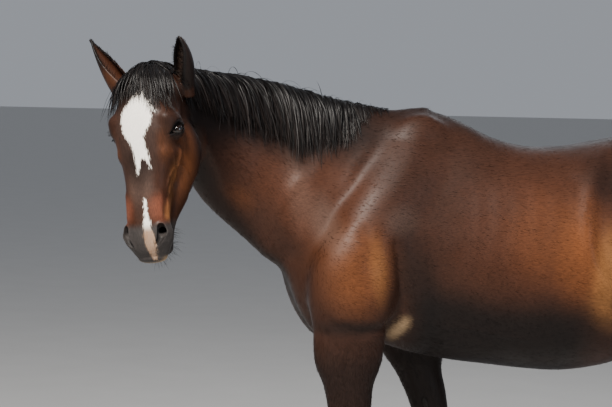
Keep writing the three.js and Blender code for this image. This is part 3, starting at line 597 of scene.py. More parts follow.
def unit(v):
    return np.array(v, float) / np.linalg.norm(v)


EYE_OUT = unit((-0.06, -0.42, 0.9))  # along, deep and to the side
EYE_LATERAL = unit(np.cross(np.cross(EYE_OUT, (-0.34, 0.8, 0.42)), EYE_OUT))
EYE_UP = np.cross(EYE_OUT, EYE_LATERAL)
EYE_UP *= -np.sign(EYE_UP[0])
LID_HALF, LID_UPPER, LID_LOWER, LID_THICK = 21, 13.5, 10.5, 3.4


def eye_local(x, side, z):
    """A point seen from the eye's centre: towards the outer corner, up, outwards and its distance."""
    along, deep = head_measures(x, z)
    p = np.stack([along - EYE[0], deep - EYE[1], side - EYE[2]], 1)
    return p @ EYE_LATERAL, p @ EYE_UP, p @ EYE_OUT, np.sqrt((p * p).sum(1))


def lid_edges(u):
    """How high the upper and the lower lid's rims stand, at a place across the eye."""
    arch, slant = 1 - (np.abs(u) / LID_HALF) ** 2.2, 1.5 * u / LID_HALF
    return LID_UPPER * arch + slant, -LID_LOWER * arch + slant


def lid_gap(u, v, r):
    """How far outside the lids' almond opening a point is, drawn on the eyeball."""
    scale = EYE_RADIUS / np.maximum(r, 1)
    upper, lower = lid_edges(u * scale)
    return np.maximum(v * scale - upper, lower - v * scale)


# ---- The whole field ----
def limb_shift(y, z):
    """How far back a foreleg's level stands from square: the left one is ahead, the right one behind."""
    swung = ramp(z, 1500, 940)
    far = FAR_FORELEG_BACK * swung + FAR_FORELEG_SLANT * np.maximum(0, 930 - z)
    near = -NEAR_FORELEG_FORWARD * swung
    return near + (far - near) * smooth_step(0.5 + y / 120)


def join_all(f, fields, k, x, y, z):
    for field in fields:
        f = smooth_min(f, field(x, y, z), k)
    return f


def body_field(x, y, z):
    side = np.abs(y)
    f = smooth_min(BARREL(x, y, z), NECK(x, y, z), NECK_BLEND)
    m = x < MIDDLE
    xm, ym, sm, zm = x[m], y[m], side[m], z[m]
    square = xm - limb_shift(ym, zm)
    g = join_all(f[m], BREAST, BREAST_BLEND, xm, np.hypot(ym, 24), zm)
    g = join_all(g, ARM, ARM_BLEND, square, sm, zm)
    f[m] = smooth_min(g, FORELEG(square, sm, zm), FORELEG_BLEND)
    m = x > HAUNCH_FROM
    xm, sm, zm = x[m], side[m], z[m]
    g = join_all(f[m], HAUNCH, HAUNCH_BLEND, xm, sm, zm)
    g = smooth_min(g, HINDLEG(xm, sm, zm), HINDLEG_BLEND)
    f[m] = smooth_min(g, DOCK(xm, sm, zm), DOCK_BLEND)
    return f


def head_field(x, y, z):
    side = np.abs(y)
    f = smooth_min(SKULL(x, y, z), JAW(x, y, z), JAW_BLEND)
    f = join_all(f, FACE, FACE_BLEND, x, side, z)
    return smooth_min(f, NOSTRIL_WING(x, side, z), WING_BLEND)


def flesh(x, y, z):
    """The horse without ears, lids or the holes of the face."""
    f = body_field(x, y, z)
    m = x < HEAD_FROM
    f[m] = smooth_min(f[m], head_field(x[m], y[m], z[m]), HEAD_BLEND)
    return f


def coat_depth(x, z):
    """The skin lies this far under the solids' surface: the face and lower legs have the shortest coat."""
    along, _ = head_measures(x, z)
    thin = np.maximum(ramp(along, -20, 70) * (x < FACE_FROM), ramp(z, 620, 420))
    return COAT_DEPTH + (THIN_COAT - COAT_DEPTH) * thin


def skin_field(x, y, z):
    f = flesh(x, y, z) + coat_depth(x, z)
    m = (x < FACE_FROM) & (z > 1180)
    f[~m] -= body_relief(x[~m], y[~m], z[~m])
    x, y, z = x[m], y[m], z[m]
    side = np.abs(y)
    g = f[m] - head_relief(x, y, z)
    for ear in EARS.values():
        g = smooth_min(g, ear_field(ear, x, y, z), EAR_BLEND)
    u, v, out, r = eye_local(x, side, z)
    g = smooth_min(g, r - EYE_RADIUS - LID_THICK, LID_BLEND)
    g -= np.where((out > 0) & (r < 60), lid_folds(u, v), 0)
    opening = np.where(out > 0, lid_gap(u, v, r), 50)
    g = smooth_max(g, -np.maximum(opening, EYE_RADIUS - 5 - r), LID_EDGE_BLEND)
    hole = smooth_min(NOSTRIL(x, side, z), NOSTRIL_TUNNEL(x, side, z), TUNNEL_BLEND)
    f[m] = smooth_max(g, -hole, NOSTRIL_BLEND)
    return f


def gradient(field, x, y, z, h=0.4):
    """The field's value and slope, from four points round each point."""
    corners = np.array([(1, 1, 1), (1, -1, -1), (-1, 1, -1), (-1, -1, 1)])
    values = [field(x + a * h, y + b * h, z + c * h) for a, b, c in corners]
    slope = sum(v[:, None] * c for v, c in zip(values, corners)) / (4 * h)
    return sum(values) / 4, slope


def settle(field, points, passes=3, most=6.0):
    """Moves points along the field's slope to its surface, each by no more than a little at a time."""
    p = points.copy()
    for _ in range(passes):
        value, slope = gradient(field, *p.T)
        size = np.maximum((slope**2).sum(1), 0.08)
        move = -(value / size)[:, None] * slope
        length = np.maximum(np.linalg.norm(move, axis=1), 1e-9)
        p += move * np.minimum(1, most / length)[:, None]
    return p


# ---- A closed skin from the field: one vertex in each cell that it crosses, finer cells on the head ----
CORNERS = [(a, b, c) for c in (0, 1) for b in (0, 1) for a in (0, 1)]
EDGES = [(i, j) for i in range(8) for j in range(i + 1, 8) if bin(i ^ j).count("1") == 1]


def sample(field, low, counts, cell, wanted=None):
    """The field at a grid's nodes. Nodes that aren't wanted are far outside."""
    values = np.full(counts, 1e3)
    grid = np.indices(counts).reshape(3, -1).T if wanted is None else np.argwhere(wanted)
    for part in in_parts(grid, 400000):
        values[tuple(part.T)] = field(*(low + part * cell).T)
    return values


def near_surface(values, reach, times):
    """True at the nodes of a grid this many times finer that lie near the coarse grid's surface."""
    near = np.abs(values) < reach
    cells = np.zeros(np.array(values.shape) - 1, bool)
    for a, b, c in CORNERS:
        cells |= near[a : a + cells.shape[0], b : b + cells.shape[1], c : c + cells.shape[2]]
    return cells.repeat(times, 0).repeat(times, 1).repeat(times, 2)


def closed(cells):
    """The nodes that belong to any of these cells."""
    nodes = np.zeros(np.array(cells.shape) + 1, bool)
    for a, b, c in CORNERS:
        nodes[a : a + cells.shape[0], b : b + cells.shape[1], c : c + cells.shape[2]] |= cells
    return nodes


def cell_points(values, cells):
    """The crossed cells among these, and the middle of each one's crossings in cell units."""
    at = np.argwhere(cells)
    v = np.stack([values[tuple((at + c).T)] for c in CORNERS])
    crossed = ((v < 0).any(0)) & ((v >= 0).any(0))
    at, v = at[crossed], v[:, crossed]
    total, count = np.zeros((len(at), 3)), np.zeros(len(at))
    for i, j in EDGES:
        cut = (v[i] < 0) != (v[j] < 0)
        t = np.where(cut, v[i] / np.where(cut, v[i] - v[j], 1), 0)
        a, b = np.array(CORNERS[i]), np.array(CORNERS[j])
        total += np.where(cut[:, None], a + (b - a) * t[:, None], 0)
        count += cut
    return at, at + total / count[:, None]


def crossed_edges(values, allowed):
    """For each axis, the nodes where an edge starts that changes sign, and whether it starts inside."""
    for axis in range(3):
        a = [slice(None)] * 3
        b = [slice(None)] * 3
        a[axis], b[axis] = slice(None, -1), slice(1, None)
        a, b = tuple(a), tuple(b)
        cut = ((values[a] < 0) != (values[b] < 0)) & allowed[a] & allowed[b]
        at = np.argwhere(cut)
        yield axis, at, values[tuple(at.T)] < 0


def around(axis, at):
    """The four cells round each edge, in turn."""
    u, v = np.eye(3, dtype=int)[[(axis + 1) % 3, (axis + 2) % 3]]
    return [at - u - v, at - v, at, at - u]


class Grid:
    """The field at the wanted nodes of a grid, and the vertex of each cell that the surface crosses."""

    def __init__(self, field, low, size, wanted):
        self.low, self.size = low, size
        self.values = sample(field, low, wanted.shape, size, wanted)
        self.id = np.full(np.array(wanted.shape) - 1, -1)
        self.own = None  # the cells that this grid meshes, and the other one doesn't

    def number(self, first):
        """Gives its own crossed cells a vertex each, numbered from first on, and returns their points."""
        at, points = cell_points(self.values, self.own)
        self.id[tuple(at.T)] = first + np.arange(len(at))
        return self.low + points * self.size


def two_grids(field, low, high, head_low, head_high):
    """A coarse grid near the surface, a fine one in its head block, and that block's first cell."""
    size = np.full(3, float(BODY_CELL))
    cells = np.ceil((high - low) / size / ROUGH_CELLS).astype(int) * ROUGH_CELLS
    rough = sample(field, low, cells // ROUGH_CELLS + 1, size * ROUGH_CELLS)
    near = near_surface(rough, BODY_CELL * ROUGH_CELLS * 1.6, ROUGH_CELLS)
    coarse = Grid(field, low, size, closed(near))
    first, last = (((corner - low) // size).astype(int) for corner in (head_low, head_high))
    split = np.zeros(cells, bool)
    nodes = tuple(slice(a + 1, b) for a, b in zip(first, last))
    inner = tuple(slice(a + 1, b - 1) for a, b in zip(first, last))
    split[inner] = near_surface(coarse.values[nodes], 30, 1)
    coarse.own = ~split
    block = split[tuple(slice(a, b) for a, b in zip(first, last))]
    fine_cells = block.repeat(CELL_SPLIT, 0).repeat(CELL_SPLIT, 1).repeat(CELL_SPLIT, 2)
    fine = Grid(field, low + first * size, size / CELL_SPLIT, closed(fine_cells))
    fine.own = fine_cells
    return coarse, fine, first


def skin_surface(field, low, high, head_low, head_high):
    """Vertices and triangles of the field's surface."""
    coarse, fine, first = two_grids(field, low, high, head_low, head_high)
    fine_points = fine.number(0)
    points = np.concatenate([fine_points, coarse.number(len(fine_points))])
    faces = []
    for axis, at, inside in crossed_edges(fine.values, closed(fine.own)):
        ids = []
        for c in around(axis, at):
            parent = tuple((c // CELL_SPLIT + first).T)
            ids.append(np.where(coarse.own[parent], coarse.id[parent], fine.id[tuple(c.T)]))
        faces.append(turned(np.stack(ids, 1), inside))
    for axis, at, inside in crossed_edges(coarse.values, np.ones(coarse.values.shape, bool)):
        corners = around(axis, at)
        ok = np.all([((c >= 0) & (c < coarse.id.shape)).all(1) for c in corners], 0)
        corners, inside = [c[ok] for c in corners], inside[ok]
        ok = np.all([coarse.own[tuple(c.T)] for c in corners], 0)
        ids = np.stack([coarse.id[tuple(c[ok].T)] for c in corners], 1)
        faces.append(turned(ids, inside[ok]))
    return points, triangles_of(np.concatenate(faces))


def turned(quads, inside):
    """Quads with their outer side out."""
    return np.where(inside[:, None], quads, quads[:, ::-1])


def triangles_of(quads):
    """Two triangles for each quad, or one where two of its corners are the same."""
    t = np.concatenate([quads[:, [0, 1, 2]], quads[:, [0, 2, 3]]])
    sound = (t[:, 0] != t[:, 1]) & (t[:, 1] != t[:, 2]) & (t[:, 2] != t[:, 0]) & (t.min(1) >= 0)
    return t[sound]


def split_long(points, faces, limit):
    """Halves each edge that is longer than its place allows, and splits the faces on it."""
    edges = np.sort(np.stack([faces, np.roll(faces, -1, 1)], 2).reshape(-1, 2), 1)
    keys, back = np.unique(edges[:, 0] * len(points) + edges[:, 1], return_inverse=True)
    a, b = keys // len(points), keys % len(points)
    middle = (points[a] + points[b]) / 2
    long = np.linalg.norm(points[a] - points[b], axis=1) > limit(*middle.T)
    new_id = np.full(len(keys), -1)
    new_id[long] = len(points) + np.arange(long.sum())
    cut = new_id[back].reshape(-1, 3)
    out = [faces[(cut < 0).all(1)]]
    for shift in range(3):
        f, m = np.roll(faces, -shift, 1), np.roll(cut, -shift, 1)
        one = (m[:, 0] >= 0) & (m[:, 1] < 0) & (m[:, 2] < 0)
        (v0, v1, v2), m0 = f[one].T, m[one, 0]
        out += [np.stack([v0, m0, v2], 1), np.stack([m0, v1, v2], 1)]
        two = (m[:, 0] >= 0) & (m[:, 1] >= 0) & (m[:, 2] < 0)
        (v0, v1, v2), (m0, m1) = f[two].T, m[two, :2].T
        out += [np.stack([m0, v1, m1], 1), np.stack([v0, m0, m1], 1), np.stack([v0, m1, v2], 1)]
    three = (cut >= 0).all(1)
    (v0, v1, v2), (m0, m1, m2) = faces[three].T, cut[three].T
    out += [np.stack(t, 1) for t in ((v0, m0, m2), (m0, v1, m1), (m2, m1, v2), (m0, m1, m2))]
    return np.concatenate([points, middle[long]]), np.concatenate(out)


def relax(points, faces, share):
    """Moves each vertex towards the middle of its neighbours."""
    edges = np.unique(np.sort(np.stack([faces, np.roll(faces, -1, 1)], 2).reshape(-1, 2), 1), axis=0)
    total, count = np.zeros_like(points), np.zeros(len(points))
    for a, b in (edges.T, edges.T[::-1]):
        for k in range(3):
            total[:, k] += np.bincount(a, points[b, k], len(points))
        count += np.bincount(a, minlength=len(points))
    middle = total / np.maximum(count, 1)[:, None]
    return points + (middle - points) * share


# ---- Bending the neck ----
def bend_table():
    table = [Matrix.Identity(3)]
    for i in range(BEND_STEPS):
        s = (i + 0.5) / BEND_STEPS
        angle = math.radians(BEND_FROM + (BEND_TO - BEND_FROM) * s)
        c, sn = math.cos(angle), math.sin(angle)
        axis = Vector((BEND_TURN * c - BEND_ROLL * sn, BEND_NOD, BEND_TURN * sn + BEND_ROLL * c))
        amount = math.radians(axis.length) * 6 * s * (1 - s) / BEND_STEPS
        table.append(table[i] @ Matrix.Rotation(amount, 3, axis.normalized()))
    return np.array([np.array(m) for m in table])


BEND_TABLE = bend_table()


def bend(points):
    """Points of the straight horse, moved to where the turned neck and head carry them."""
    d = points - (BEND_CENTRE[0], 0, BEND_CENTRE[1])
    angle = np.degrees(np.arctan2(d[:, 2], d[:, 0]))
    share = clamp01((angle - BEND_FROM) / (BEND_TO - BEND_FROM))
    share = np.where(d[:, 2] < 0, np.where((d[:, 0] < 0) & (points[:, 0] < POLL[0]), 1, 0), share)
    place = np.minimum(share * BEND_STEPS, BEND_STEPS - 1e-9)
    i = place.astype(int)
    t = (place - i)[:, None, None]
    turn = BEND_TABLE[i] * (1 - t) + BEND_TABLE[i + 1] * t
    moved = np.einsum("nij,nj->ni", turn, d) + (BEND_CENTRE[0], 0, BEND_CENTRE[1])
    return np.where(share[:, None] > 0, moved + smooth_step(share)[:, None] * BEND_SHIFT, points)


def hoof_shift(y):
    """How far back a fore hoof stands from square."""
    return limb_shift(y, HOOF_HEIGHT)


def frame_offset():
    """From the straight horse's millimetres to the frame's, found at the left fore hoof."""
    low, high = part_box("foreleg_left_hoof")
    x, y, _ = HOOVES["foreleg_left"]
    toe = x - HOOF_LEVELS[0, 1] + hoof_shift(y)
    return np.array([low.x / MM - toe, (low.y + high.y) / 2 / MM - y, 0])


OFFSET = frame_offset()


def to_frame(points):
    """Bent, in metres, in the CAD frame."""
    return (bend(points) + OFFSET) * MM


# ---- Markings and painted light (highlights, sheen and shade): colours are linear, places are on the straight horse ----
SEAL = (0.0095, 0.0055, 0.0045)
BLACK = (0.0042, 0.0036, 0.0036)
BAY = (0.028, 0.0115, 0.0070)
MAHOGANY = (0.058, 0.0195, 0.0090)
CHESTNUT = (0.140, 0.045, 0.0135)
TAN = (0.260, 0.110, 0.034)
BEIGE = (0.380, 0.255, 0.140)
UMBER = (0.030, 0.019, 0.0155)
MUZZLE_GREY = (0.034, 0.031, 0.030)
SKIN_PINK = (0.250, 0.150, 0.092)
# Painted sheen: a greyish light tone that stands for the coat's gloss on the neck, the shoulder and the
# nose, and for a highlight line behind the jaw.
PAINTED_SHEEN = (0.120, 0.082, 0.066)
NOSE_RED = (0.125, 0.040, 0.022)
# Soft spots on the body: colour, strength, centre in x and z, radii, and how far they are turned.
BODY_SPOTS = [
    (MAHOGANY, 0.75, (330, 1220), (260, 210), 0),
    (CHESTNUT, 0.30, (330, 1210), (120, 130), 0),
    (MAHOGANY, 0.60, (-560, 1400), (170, 90), -35),
    (CHESTNUT, 0.45, (-640, 1305), (70, 50), -40),
    (MAHOGANY, 0.55, (-300, 1340), (120, 160), 20),
    # Painted highlight: a lighter spot on the lower neck in front of the shoulder.
    (MAHOGANY, 0.80, (-420, 1290), (60, 110), 20),
    (CHESTNUT, 0.52, (-262, 1110), (110, 140), 0),
    # Painted highlight: a golden light streak on the bulge of the triceps.
    (TAN, 0.28, (-200, 1110), (30, 100), 8),
    # Painted shade: the dark crease under the bulge of the triceps.
    (SEAL, 0.80, (-280, 940), (110, 26), 0),
    (SEAL, 0.70, (-190, 1540), (60, 60), 0),
    (SEAL, 0.75, (-60, 1060), (60, 170), 14),
    (CHESTNUT, 0.60, (440, 1150), (90, 170), 0),
    (TAN, 0.66, (516, 1110), (52, 130), -4),
    (TAN, 0.38, (560, 985), (110, 60), -20),
    # Painted shade in the hollow of the flank.
    (SEAL, 0.60, (520, 1390), (60, 70), 0),
    (MAHOGANY, 0.60, (930, 1280), (240, 170), 0),
    # Painted sheen: these three spots grey the lower neck in front of the shoulder, and the shoulder.
    (PAINTED_SHEEN, 0.22, (-425, 1330), (36, 110), 8),
    (PAINTED_SHEEN, 0.30, (-350, 1255), (44, 90), 16),
    (PAINTED_SHEEN, 0.16, (-131, 1262), (60, 46), 0),
    (CHESTNUT, 0.35, (-622, 1300), (60, 50), -40),
    # Painted highlight: a thin light line down the neck behind the jaw.
    (PAINTED_SHEEN, 0.90, (-706, 1436), (11, 120), 30),
    (CHESTNUT, 0.40, (800, 1080), (120, 120), 20),
    (TAN, 0.45, (690, 960), (90, 70), 0),
]
ELBOW_PATCH = (BEIGE, 0.80, (30, 926), (22, 40), -30)  # standing square
# Soft spots on the head: colour, strength, centre along, deep and to the side, and radii.
HEAD_SPOTS = [
    (UMBER, 0.90, (150, 0, 0), (190, 70, 84)),
    (CHESTNUT, 0.46, (262, 126, 86), (110, 56, 50)),
    (TAN, 0.25, (316, 78, 62), (80, 26, 36)),
    # Painted sheen down the front of the face.
    (PAINTED_SHEEN, 0.32, (322, 2, 6), (56, 24, 36)),
    (NOSE_RED, 0.80, (390, 30, 50), (40, 46, 30)),
    (UMBER, 0.55, (380, 0, 0), (70, 20, 22)),
    (TAN, 0.45, (400, 62, 50), (32, 30, 34)),
    (MAHOGANY, 0.60, (120, 60, 92), (50, 60, 40)),
    (CHESTNUT, 0.30, (214, 24, 84), (60, 36, 24)),
    (SEAL, 0.80, (150, 44, 92), (70, 50, 34)),
    (SEAL, 0.80, (272, 10, 0), (64, 30, 42)),
    (SEAL, 0.70, (50, 60, 40), (60, 90, 90)),
    (SEAL, 0.65, (200, 226, 60), (150, 70, 90)),
]
STAR = [  # along, to the side and radius: a chain that starts under the forelock
    (46, -22, 2),
    (74, -18, 12),
    (102, -8, 33),
    (132, -2, 49),
    (156, 4, 41),
    (178, 2, 29),
    (206, -5, 22),
    (228, -11, 21),
]
STAR_FORKS = [[(232, -2, 12), (258, -1, 8), (293, 2, 1)], [(230, -24, 10), (254, -32, 4), (277, -37, 1)]]
STAR_WISPS = [[(62, -44, 1), (96, -46, 2)], [(54, -2, 1), (90, 12, 5)], [(100, -44, 3), (118, -62, 0)]]
SNIP = [
    (364, -17, 4),
    (398, -18, 5),
    (424, -20, 9),
    (440, -20, 11),
    (466, -22, 15),
    (500, -22, 14),
    (526, -18, 7),
]


def mix(a, b, share):
    return a + (np.array(b) - a) * np.asarray(share)[..., None]


def soft(distance):
    """A spot's share at a distance counted in its radii."""
    return smooth_step(1.25 - 0.85 * distance)


def body_spot(x, z, centre, radii, turn):
    c, s = math.cos(math.radians(turn)), math.sin(math.radians(turn))
    dx, dz = x - centre[0], z - centre[1]
    return soft(np.hypot((dx * c + dz * s) / radii[0], (dz * c - dx * s) / radii[1]))


def body_tone(x, y, z):
    side = np.abs(y)
    tone = np.tile(BAY, (len(x), 1)).astype(float)
    for colour, strength, *where in BODY_SPOTS:
        tone = mix(tone, colour, strength * ramp(side, 30, 100) * body_spot(x, z, *where))
    back = ramp(side, 105, 15) * ramp(z, 1330, 1420)
    tone = mix(tone, SEAL, 0.8 * back)
    # Black on the upper neck under the mane and behind the jaw: partly darker coat, partly painted shade
    # from the mane and the head.
    under_mane_coat_and_shade = ramp(z + 0.12 * (x + 500), 1395, 1545) * ramp(x, -150, -270)
    tone = mix(tone, BLACK, 0.80 * under_mane_coat_and_shade)
    throat = ramp(side, 60, 20) * ramp(z, 1480, 1380) * ramp(x, -150, -240)
    tone = mix(tone, SEAL, 0.7 * throat)
    # Painted shade under the belly: the lower barrel goes black.
    belly = ramp(z - 36 * ramp(x, 200, 0), 1070, 950) * ramp(x, -100, -10) * ramp(x, 560, 410)
    tone = mix(tone, BLACK, 0.85 * belly)
    colour, strength, *where = ELBOW_PATCH
    tone = mix(tone, colour, strength * body_spot(x - limb_shift(y, z), z, *where) * (side > 60))
    tone = mix(tone, SEAL, 0.75 * ramp(z, 930, 800) * (x < MIDDLE))
    return mix(tone, BLACK, 0.94 * np.where(x < MIDDLE, ramp(z, 700, 510), ramp(z, 640, 490)))


def head_tone(x, y, z):
    along, deep = head_measures(x, z)
    side = np.abs(y)
    tone = np.tile(MAHOGANY, (len(x), 1)) * 0.5
    for colour, strength, centre, radii in HEAD_SPOTS:
        offsets = (along - centre[0], deep - centre[1], side - centre[2])
        d = np.sqrt(sum((o / r) ** 2 for o, r in zip(offsets, radii)))
        tone = mix(tone, colour, strength * soft(d))
    muzzle = ramp(along + 0.16 * deep, 424, 450)
    tone = mix(tone, MUZZLE_GREY, 0.9 * muzzle)
    tone = mix(tone, BEIGE, 0.6 * ramp(along, 514, 528) * ramp(deep, 48, 68) * (side < 48))
    hole = ramp(NOSTRIL(x, side, z), 4, -2)
    tone = mix(tone, BLACK, 0.85 * hole)
    u, v, _, r = eye_local(x, side, z)
    rim = ramp(lid_gap(u, v, r), 7.5, 0.5) * (r < EYE_RADIUS + 16)
    return mix(tone, BLACK, 0.9 * rim)


def ear_tone(tone, x, y, z):
    """Paints the ears over a tone: dark outside and along the rims, brown inside the right ear. The left
    ear's inside stays dark, partly dark hair and partly painted shade.
    """
    for ear in EARS.values():
        lz, h, rho, angle = ear_local(ear, x, y, z)
        on_ear = ramp(ear_field(ear, x, y, z), 5, 1) * ramp(lz, -6, 14)
        inside = ramp(ear_radius(ear, h) - EAR_WALL / 2 - rho, 0, 3)
        edge = ramp(np.degrees(np.abs(angle) - ear_opening(h)), -16, -4)
        brown = 0.75 * inside * (ear["side"] > 0)  # the left ear's inside stays dark: partly dark hair, partly painted shade
        shade = mix(mix(np.tile(SEAL, (len(x), 1)), MAHOGANY, brown * (1 - 0.6 * h)), BLACK, 0.9 * edge)
        shade = mix(shade, CHESTNUT, 0.22 * (1 - inside) * ramp(lz, 90, 30) * (ear["side"] > 0))
        tone = mix(tone, shade, on_ear)
    return tone


def coat_tone(points):
    x, y, z = points.T
    tone = body_tone(x, y, z)
    m = (x < -740) & (z > 1150)
    h = points[m].T
    along, _ = head_measures(h[0], h[2])
    on_head = np.maximum(ramp(h[0], -800, -860), ramp(along, 120, 180))
    tone[m] = ear_tone(mix(tone[m], head_tone(*h), on_head), *h)
    return tone


def white_and_bare(points):
    """How far inside the white marks a point is, as 0.5 at their edge, and where the skin is bare."""
    x, y, z = points.T
    along, deep = head_measures(x, z)
    star = chain_distance(STAR, along, y)
    for chain in STAR_FORKS + STAR_WISPS:
        star = smooth_min(star, chain_distance(chain, along, y), STAR_BLEND)
    white = np.minimum(star, chain_distance(SNIP, along, y))
    white = np.maximum(white, (deep - 60) * 0.6)
    on_head = x < -900
    bare = ramp(along + 0.16 * deep, 428, 458) * on_head
    return np.where(on_head, clamp01(0.5 - white / 40), 0), bare


def head_share(x, z, over=80):
    """0 on the neck, and 1 from a little in front of the throat on."""
    return ramp(x, -800, -800 - over) * ramp(z, 1150, 1210)


def lie_weights(points):
    """How much of the coat lies backwards, along the neck, and down."""
    x, _, z = points.T
    on_leg = ramp(z, 950, 840) * np.where((x > -20) & (x < 740), ramp(z, 790, 730), 1)
    down = np.maximum(head_share(x, z), on_leg)
    neck = ramp(x, -240, -400) * (1 - down)
    return np.stack([1 - down - neck, neck, down], 1)


# ---- Meshes ----
def link(name, data):
    obj = bpy.data.objects.new(name, data)
    bpy.context.scene.collection.objects.link(obj)
    return obj


def make_mesh(name, points, faces, smooth=True):
    mesh = bpy.data.meshes.new(name)
    mesh.vertices.add(len(points))
    mesh.vertices.foreach_set("co", np.asarray(points, np.float32).ravel())
    width = faces.shape[1]
    mesh.loops.add(faces.size)
    mesh.loops.foreach_set("vertex_index", faces.astype(np.int32).ravel())
    mesh.polygons.add(len(faces))
    mesh.polygons.foreach_set("loop_start", np.arange(0, faces.size, width, dtype=np.int32))
    mesh.polygons.foreach_set("loop_total", np.full(len(faces), width, np.int32))
    mesh.polygons.foreach_set("use_smooth", np.full(len(faces), smooth))
    mesh.update(calc_edges=True)
    return link(name, mesh)


def place(obj, material, slot, *replaced):
    """Gives a piece its material and its place in the frame, where everything rides the one rigid body."""
    obj.data.materials.append(material)
    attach(obj, "root")
    if replaced:
        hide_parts(*replaced)


def give(obj, name, values):
    """Stores values, one or three per vertex, where the material reads them."""
    values = np.asarray(values, np.float32)
    kind, field = ("FLOAT", "value") if values.ndim == 1 else ("FLOAT_VECTOR", "vector")
    obj.data.attributes.new(name, kind, "POINT").data.foreach_set(field, values.ravel())


def give_coat(obj, roots, each=slice(None)):
    """Stores the markings, painted highlights, sheen and shade included, at the roots on a piece. each says
    which root a vertex belongs to.
    """
    white, bare = white_and_bare(roots)
    give(obj, "home", roots[each] * MM)
    give(obj, "tone", coat_tone(roots)[each])
    give(obj, "white", white[each])
    give(obj, "bare", bare[each])
    give(obj, "lie", lie_weights(roots)[each])


def ring_faces(rows, parts):
    """Quads between rings of points, each ring closed on itself."""
    index = np.arange(rows * parts).reshape(rows, parts)
    wrap = np.roll(index, -1, 1)
    return np.stack([index[:-1], index[1:], wrap[1:], wrap[:-1]], -1).reshape(-1, 4)


# ---- Materials: colours are three linear numbers ----
class Nodes:
    """A material's node tree, with short calls to add and link nodes."""

    def __init__(self, name):
        self.material = bpy.data.materials.new(name)
        self.material.use_nodes = True
        self.tree = self.material.node_tree

    def new(self, kind, **settings):
        node = self.tree.nodes.new("ShaderNode" + kind)
        for key, value in settings.items():
            setattr(node, key, value)
        return node

    def feed(self, socket, value):
        if isinstance(value, bpy.types.NodeSocket):
            self.tree.links.new(value, socket)
        else:
            socket.default_value = (*value, 1) if socket.type == "RGBA" else value

    def add(self, kind, *inputs, output=0, **settings):
        """Adds a node with its first inputs in turn, and returns one of its outputs."""
        node = self.new(kind, **settings)
        for socket, value in zip(node.inputs, inputs):
            self.feed(socket, value)
        return node.outputs[output]

    def fill(self, node, **inputs):
        """Feeds a node's inputs by name, and returns its first output."""
        for name, value in inputs.items():
            self.feed(node.inputs[name.replace("_", " ")], value)
        return node.outputs[0]

    def math(self, operation, *inputs):
        return self.add("Math", *inputs, operation=operation)

    def plus(self, a, b):
        return self.math("ADD", a, b)

    def times(self, a, b):
        return self.math("MULTIPLY", a, b)

    def line(self, value, slope, start):
        return self.plus(self.times(value, slope), start)

    def hypot(self, a, b):
        return self.math("SQRT", self.plus(self.times(a, a), self.times(b, b)))

    def spread(self, value, low, high):
        """value scaled so that low gives 0 and high gives 1, clamped."""
        return self.add("MapRange", value, low, high, 0.0, 1.0)

    def attribute(self, name, output="Fac"):
        return self.add("Attribute", attribute_name=name, output=output)

    def split(self, vector):
        node = self.new("SeparateXYZ")
        self.feed(node.inputs[0], vector)
        return list(node.outputs)

    def blend(self, share, a, b):
        """Colour a, going to colour b with share."""
        node = self.new("Mix", data_type="RGBA")
        for i, value in ((0, share), (6, a), (7, b)):
            self.feed(node.inputs[i], value)
        return node.outputs[2]

    def scaled(self, colour, light):
        return self.fill(self.new("VectorMath", operation="SCALE"), Vector=colour, Scale=light)

    def noise(self, at, scale, stretch=(1, 1, 1), detail=2.0, turn=(0, 0, 0)):
        moved = self.add("Mapping", at, (0, 0, 0), turn, stretch)
        return self.fill(self.new("TexNoise"), Detail=detail, Scale=scale, Vector=moved)

    def bump(self, height, strength, distance):
        return self.fill(self.new("Bump"), Strength=strength, Distance=distance, Height=height)

    def finish(self, **inputs):
        self.fill(self.tree.nodes["Principled BSDF"], **inputs)
        return self.material


HAIR_SLOW = 1 / 14  # how slowly the grain of hair changes along its lie, beside across it
NECK_LIE = math.radians(-38)
WHITE_HAIR, WHITE_SHADE = (0.80, 0.76, 0.70), (0.42, 0.38, 0.34)
COAT_GLOSS = {
    "Specular_IOR_Level": 0.13,
    "Sheen_Weight": 0.02,
    "Sheen_Roughness": 0.35,
    "Sheen_Tint": (0.80, 0.86, 1.0),
}


def hair_noise(n, home, lie, across, detail=2.0):
    """Noise drawn out along the lie of the coat: across is how many grains fit in a metre."""
    backwards, downwards = (HAIR_SLOW, 1, 1), (1, 1, HAIR_SLOW)
    back = n.noise(home, across, backwards, detail)
    neck = n.noise(home, across, backwards, detail, (0, NECK_LIE, 0))
    down = n.noise(home, across, downwards, detail)
    weighted = [n.times(part, weight) for part, weight in zip((back, neck, down), n.split(lie))]
    return n.plus(n.plus(weighted[0], weighted[1]), weighted[2])


def coat_colour(n, streaky):
    """The markings, painted highlights, sheen and shade included, with their hair-edged borders. streaky is
    how strong the fine streaks are.
    """
    home = n.attribute("home", "Vector")
    lie = n.attribute("lie", "Vector")
    bare = n.attribute("bare")
    streaks = hair_noise(n, home, lie, 520)
    clumps = n.noise(home, 9.0, detail=4.0)
    light = n.line(n.spread(streaks, 0.3, 0.7), streaky, 1 - streaky / 2)
    brown = n.scaled(n.attribute("tone", "Color"), n.times(light, n.line(clumps, 0.5, 0.75)))
    edge = n.math("SUBTRACT", hair_noise(n, home, lie, 420, 3.0), 0.5)
    inside = n.spread(n.plus(n.attribute("white"), n.times(edge, 0.62)), 0.44, 0.58)
    mark = n.blend(bare, WHITE_HAIR, SKIN_PINK)
    mark = n.blend(n.times(n.spread(streaks, 0.35, 0.8), 0.3), mark, WHITE_SHADE)
    return n.blend(inside, brown, mark), home, lie, bare


